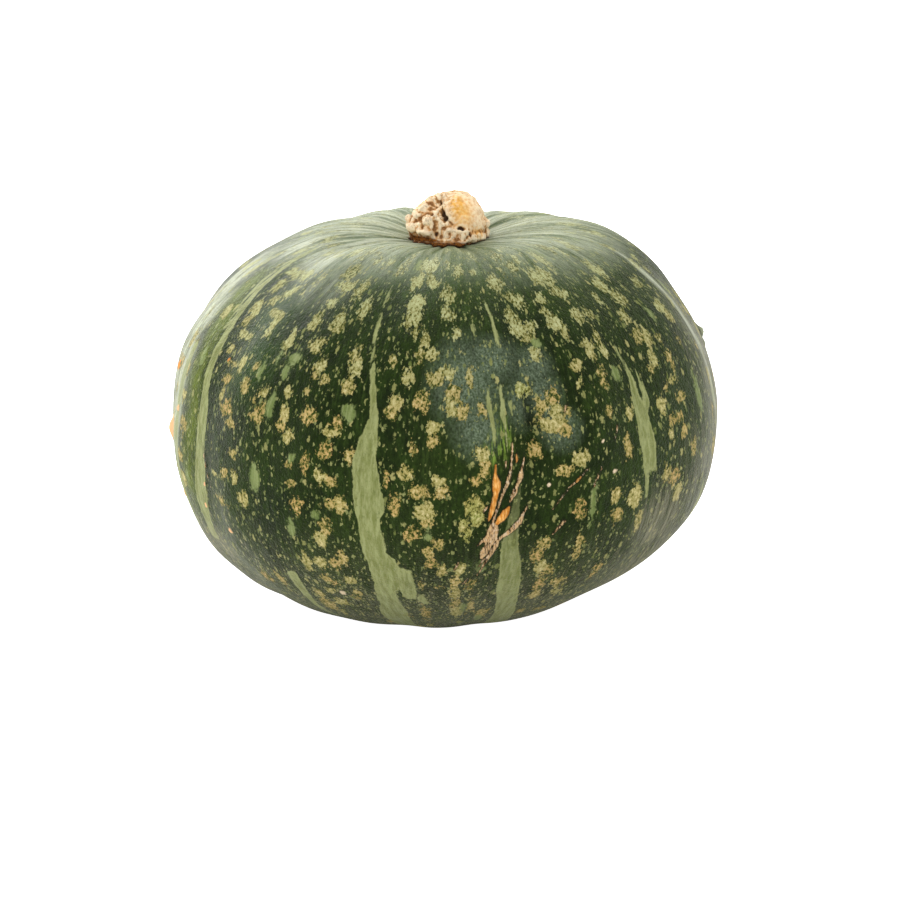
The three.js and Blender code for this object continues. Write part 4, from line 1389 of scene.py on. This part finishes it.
# painted shade: nearly black in the pits and where the stem comes within about 1.5 mm of the rind
dark = np.maximum(np.clip(push / 0.9, 0, 1), np.clip(1.15 - above / 1.3, 0, 1) * 0.8)
ochre = np.maximum.reduce([strength * seen_bell(*patch) for *patch, strength in OCHRES])
plate_top = np.interp(seen_right, PLATE_TOP_RIGHTS, PLATE_TOP_UPS)
plate = np.clip((plate_top - seen_up) / 0.7 + 0.5, 0, 1)

stem = make_object("stem_cork", stem_mm + crown_floor, stem_faces)
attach(stem, "root")
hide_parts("stem")
for field_name, field_values in {
    "place": stem_mm, "hollow": hollow, "dark": dark, "ochre": ochre * faces_front,
    "plate": plate * faces_front, "dome": on_dome, "back_darker_than_painted_front": 1 - faces_front,
}.items():
    hang_field(stem, field_name, field_values)
print("points of the stem in a hollow:", int((hollow > 0.9).sum()))

# %% [markdown]
# ## The stem's finish
#
# Dry cork has no gloss, so the stem's look is all in its colours, with its light and shade painted
# in: ochre where it broke freshly, paler cream on the ridges as a painted highlight, brown in hollows
# that is partly the cork's own and partly painted shade, and painted shade nearly black in the pits
# and under the rim. A painted map would need unwrapping. The hollows can be measured on the mesh
# instead, as how far a point lies below the mean of its neighbours, so the painted shade sits exactly
# where the shape is hollow. The front is painted lighter than the back, to make up for the shade it
# stands in, so round the back the cork is a little greyer.

# %% The stem's material
cork_material, tree, shader = new_material("cork")
place = field(tree, "place", "Vector")
freshness = calc(tree, "MULTIPLY_ADD", field(tree, "ochre"), 0.75, -0.1)
crumble = between(tree, field(tree, "dome"), 0.2, 0.8, 1.0, 0.12)
stem_cork, grain = cork_grain(tree, place, freshness, crumble)
crumbs = noise(tree, place, 0.5, detail=3)
hollows = calc(tree, "MULTIPLY_ADD", crumbs, 0.3, field(tree, "hollow"))
plate_colour = blend(tree, between(tree, crumbs, 0.35, 0.6), paint(58, 32, 6), paint(140, 84, 20))
stem_colour = layered(
    tree, stem_cork,
    # ochre and brown in the hollows, partly the cork's own colour and partly painted shade; the cream on the
    # ridges is a painted highlight
    (between(tree, hollows, 0.56, 0.98, 0.0, 0.8), paint(212, 152, 84)),
    (between(tree, hollows, 0.82, 1.3, 0.0, 0.88), paint(112, 70, 28)),
    (between(tree, hollows, 0.3, 0.62, 0.5, 0.0), paint(255, 238, 206)),
    # the front is painted lighter than the back to make up for the shade it stands in; this keeps the back
    # darker
    (field(tree, "back_darker_than_painted_front"), paint(226, 208, 180), "MULTIPLY"),
    (field(tree, "plate"), plate_colour),
    # painted shade, nearly black, in the pits and under the rim
    (between(tree, field(tree, "dark"), 0.25, 0.85, 0.0, 0.93), paint(52, 34, 18)),
)
tree.links.new(stem_colour, shader.inputs["Base Color"])
shader.inputs["Roughness"].default_value = 0.86
shader.inputs["Specular IOR Level"].default_value = 0.3
add_bump(tree, shader, calc(tree, "MULTIPLY_ADD", crumbs, 0.25, grain), 0.5, 0.7)
stem.data.materials.append(cork_material)
print("cork nodes:", len(tree.nodes))

# %% [markdown]
# ## Camera, light and floor
#
# The squash is seen from well back, 18 degrees above the floor, with a long lens, so its sides
# hardly converge. It stands in a white room that is bright behind, above and at the left, and dim
# behind the camera: the rind stays deep green where it faces the viewer and pales towards its rims.
# A single hard lamp would put a sharp glare on the wax, so every light is a broad one.

# %% Camera
CAMERA_DISTANCE = 1100
LENS = 133.2
AIM_OFFSET = (1.0, -11.2)  # right and up from the girth's middle, mm

back_way = np.array([0, -math.cos(VIEW_RISE), math.sin(VIEW_RISE)])
up_way = np.array([0, math.sin(VIEW_RISE), math.cos(VIEW_RISE)])
camera_place = shift + CAMERA_DISTANCE * back_way
aim = shift + AIM_OFFSET[0] * np.array([1, 0, 0]) + AIM_OFFSET[1] * up_way
look = mathutils.Vector((aim - camera_place).tolist())
camera = bpy.data.objects.new("camera", bpy.data.cameras.new("camera"))
camera.data.lens = LENS
camera.data.sensor_width = 36
camera.data.clip_end = 50
camera.location = camera_place * MM
camera.rotation_euler = look.to_track_quat("-Z", "Y").to_euler()
bpy.context.scene.collection.objects.link(camera)
bpy.context.scene.camera = camera
print("camera at, m:", [round(c, 3) for c in camera.location])

# %% The room's light, by direction
world = bpy.data.worlds.new("studio")
bpy.context.scene.world = world
world.use_nodes = True
tree = world.node_tree
direction = tree.nodes.new("ShaderNodeTexCoord").outputs["Generated"]
ways = tree.nodes.new("ShaderNodeSeparateXYZ")
feed(tree, ways.inputs[0], direction)
behind = between(tree, ways.outputs["Y"], -0.5, 0.7, 0.4, 1.0)
leftward = between(tree, ways.outputs["X"], -1.0, -0.2, 0.1, 0.0)
overhead = between(tree, ways.outputs["Z"], 0.3, 1.0, 0.0, 0.3)
strength = calc(tree, "ADD", calc(tree, "ADD", behind, leftward), overhead)
background = tree.nodes["Background"].inputs
background["Color"].default_value = (1, 1, 1, 1)
feed(tree, background["Strength"], strength)
print("room light nodes:", len(tree.nodes))

# %% Soft boxes
LIGHTS_AIM = mathutils.Vector((0, 0, 0.065))
SOFT_BOXES = [
    ("back_left", (-0.8, 1.3, 0.7), (1.3, 0.8), 20),
    ("overhead", (-0.3, 0.7, 1.3), (1.3, 1.0), 7),
    ("front", (-0.2, -1.9, 1.1), (1.8, 1.6), 17),
    ("low_left", (-1.3, -0.2, 0.2), (1.0, 0.4), 2.0),
    ("low_right", (1.3, -0.2, 0.2), (1.0, 0.4), 2.2),
]  # name, place and size in metres, power in watts
for name, place, size, power in SOFT_BOXES:
    light = bpy.data.objects.new(name, bpy.data.lights.new(name, "AREA"))
    light.data.shape = "RECTANGLE"
    light.data.size, light.data.size_y = size
    light.data.energy = power
    light.location = place
    way = LIGHTS_AIM - mathutils.Vector(place)
    light.rotation_euler = way.to_track_quat("-Z", "Y").to_euler()
    bpy.context.scene.collection.objects.link(light)
print("soft boxes:", len(SOFT_BOXES))

# %% A plain white floor
bpy.ops.mesh.primitive_plane_add(size=8)
floor = bpy.context.object
floor.name = "floor"
floor_material, tree, shader = new_material("floor")
for socket_name, value in {
    "Base Color": (0.94, 0.94, 0.94, 1), "Roughness": 0.9, "Emission Color": (1, 1, 1, 1),
}.items():
    shader.inputs[socket_name].default_value = value
ray = tree.nodes.new("ShaderNodeLightPath")
tree.links.new(ray.outputs["Is Camera Ray"], shader.inputs["Emission Strength"])
floor.data.materials.append(floor_material)
bpy.context.scene.view_settings.view_transform = "Standard"
print("floor, m:", tuple(floor.dimensions))
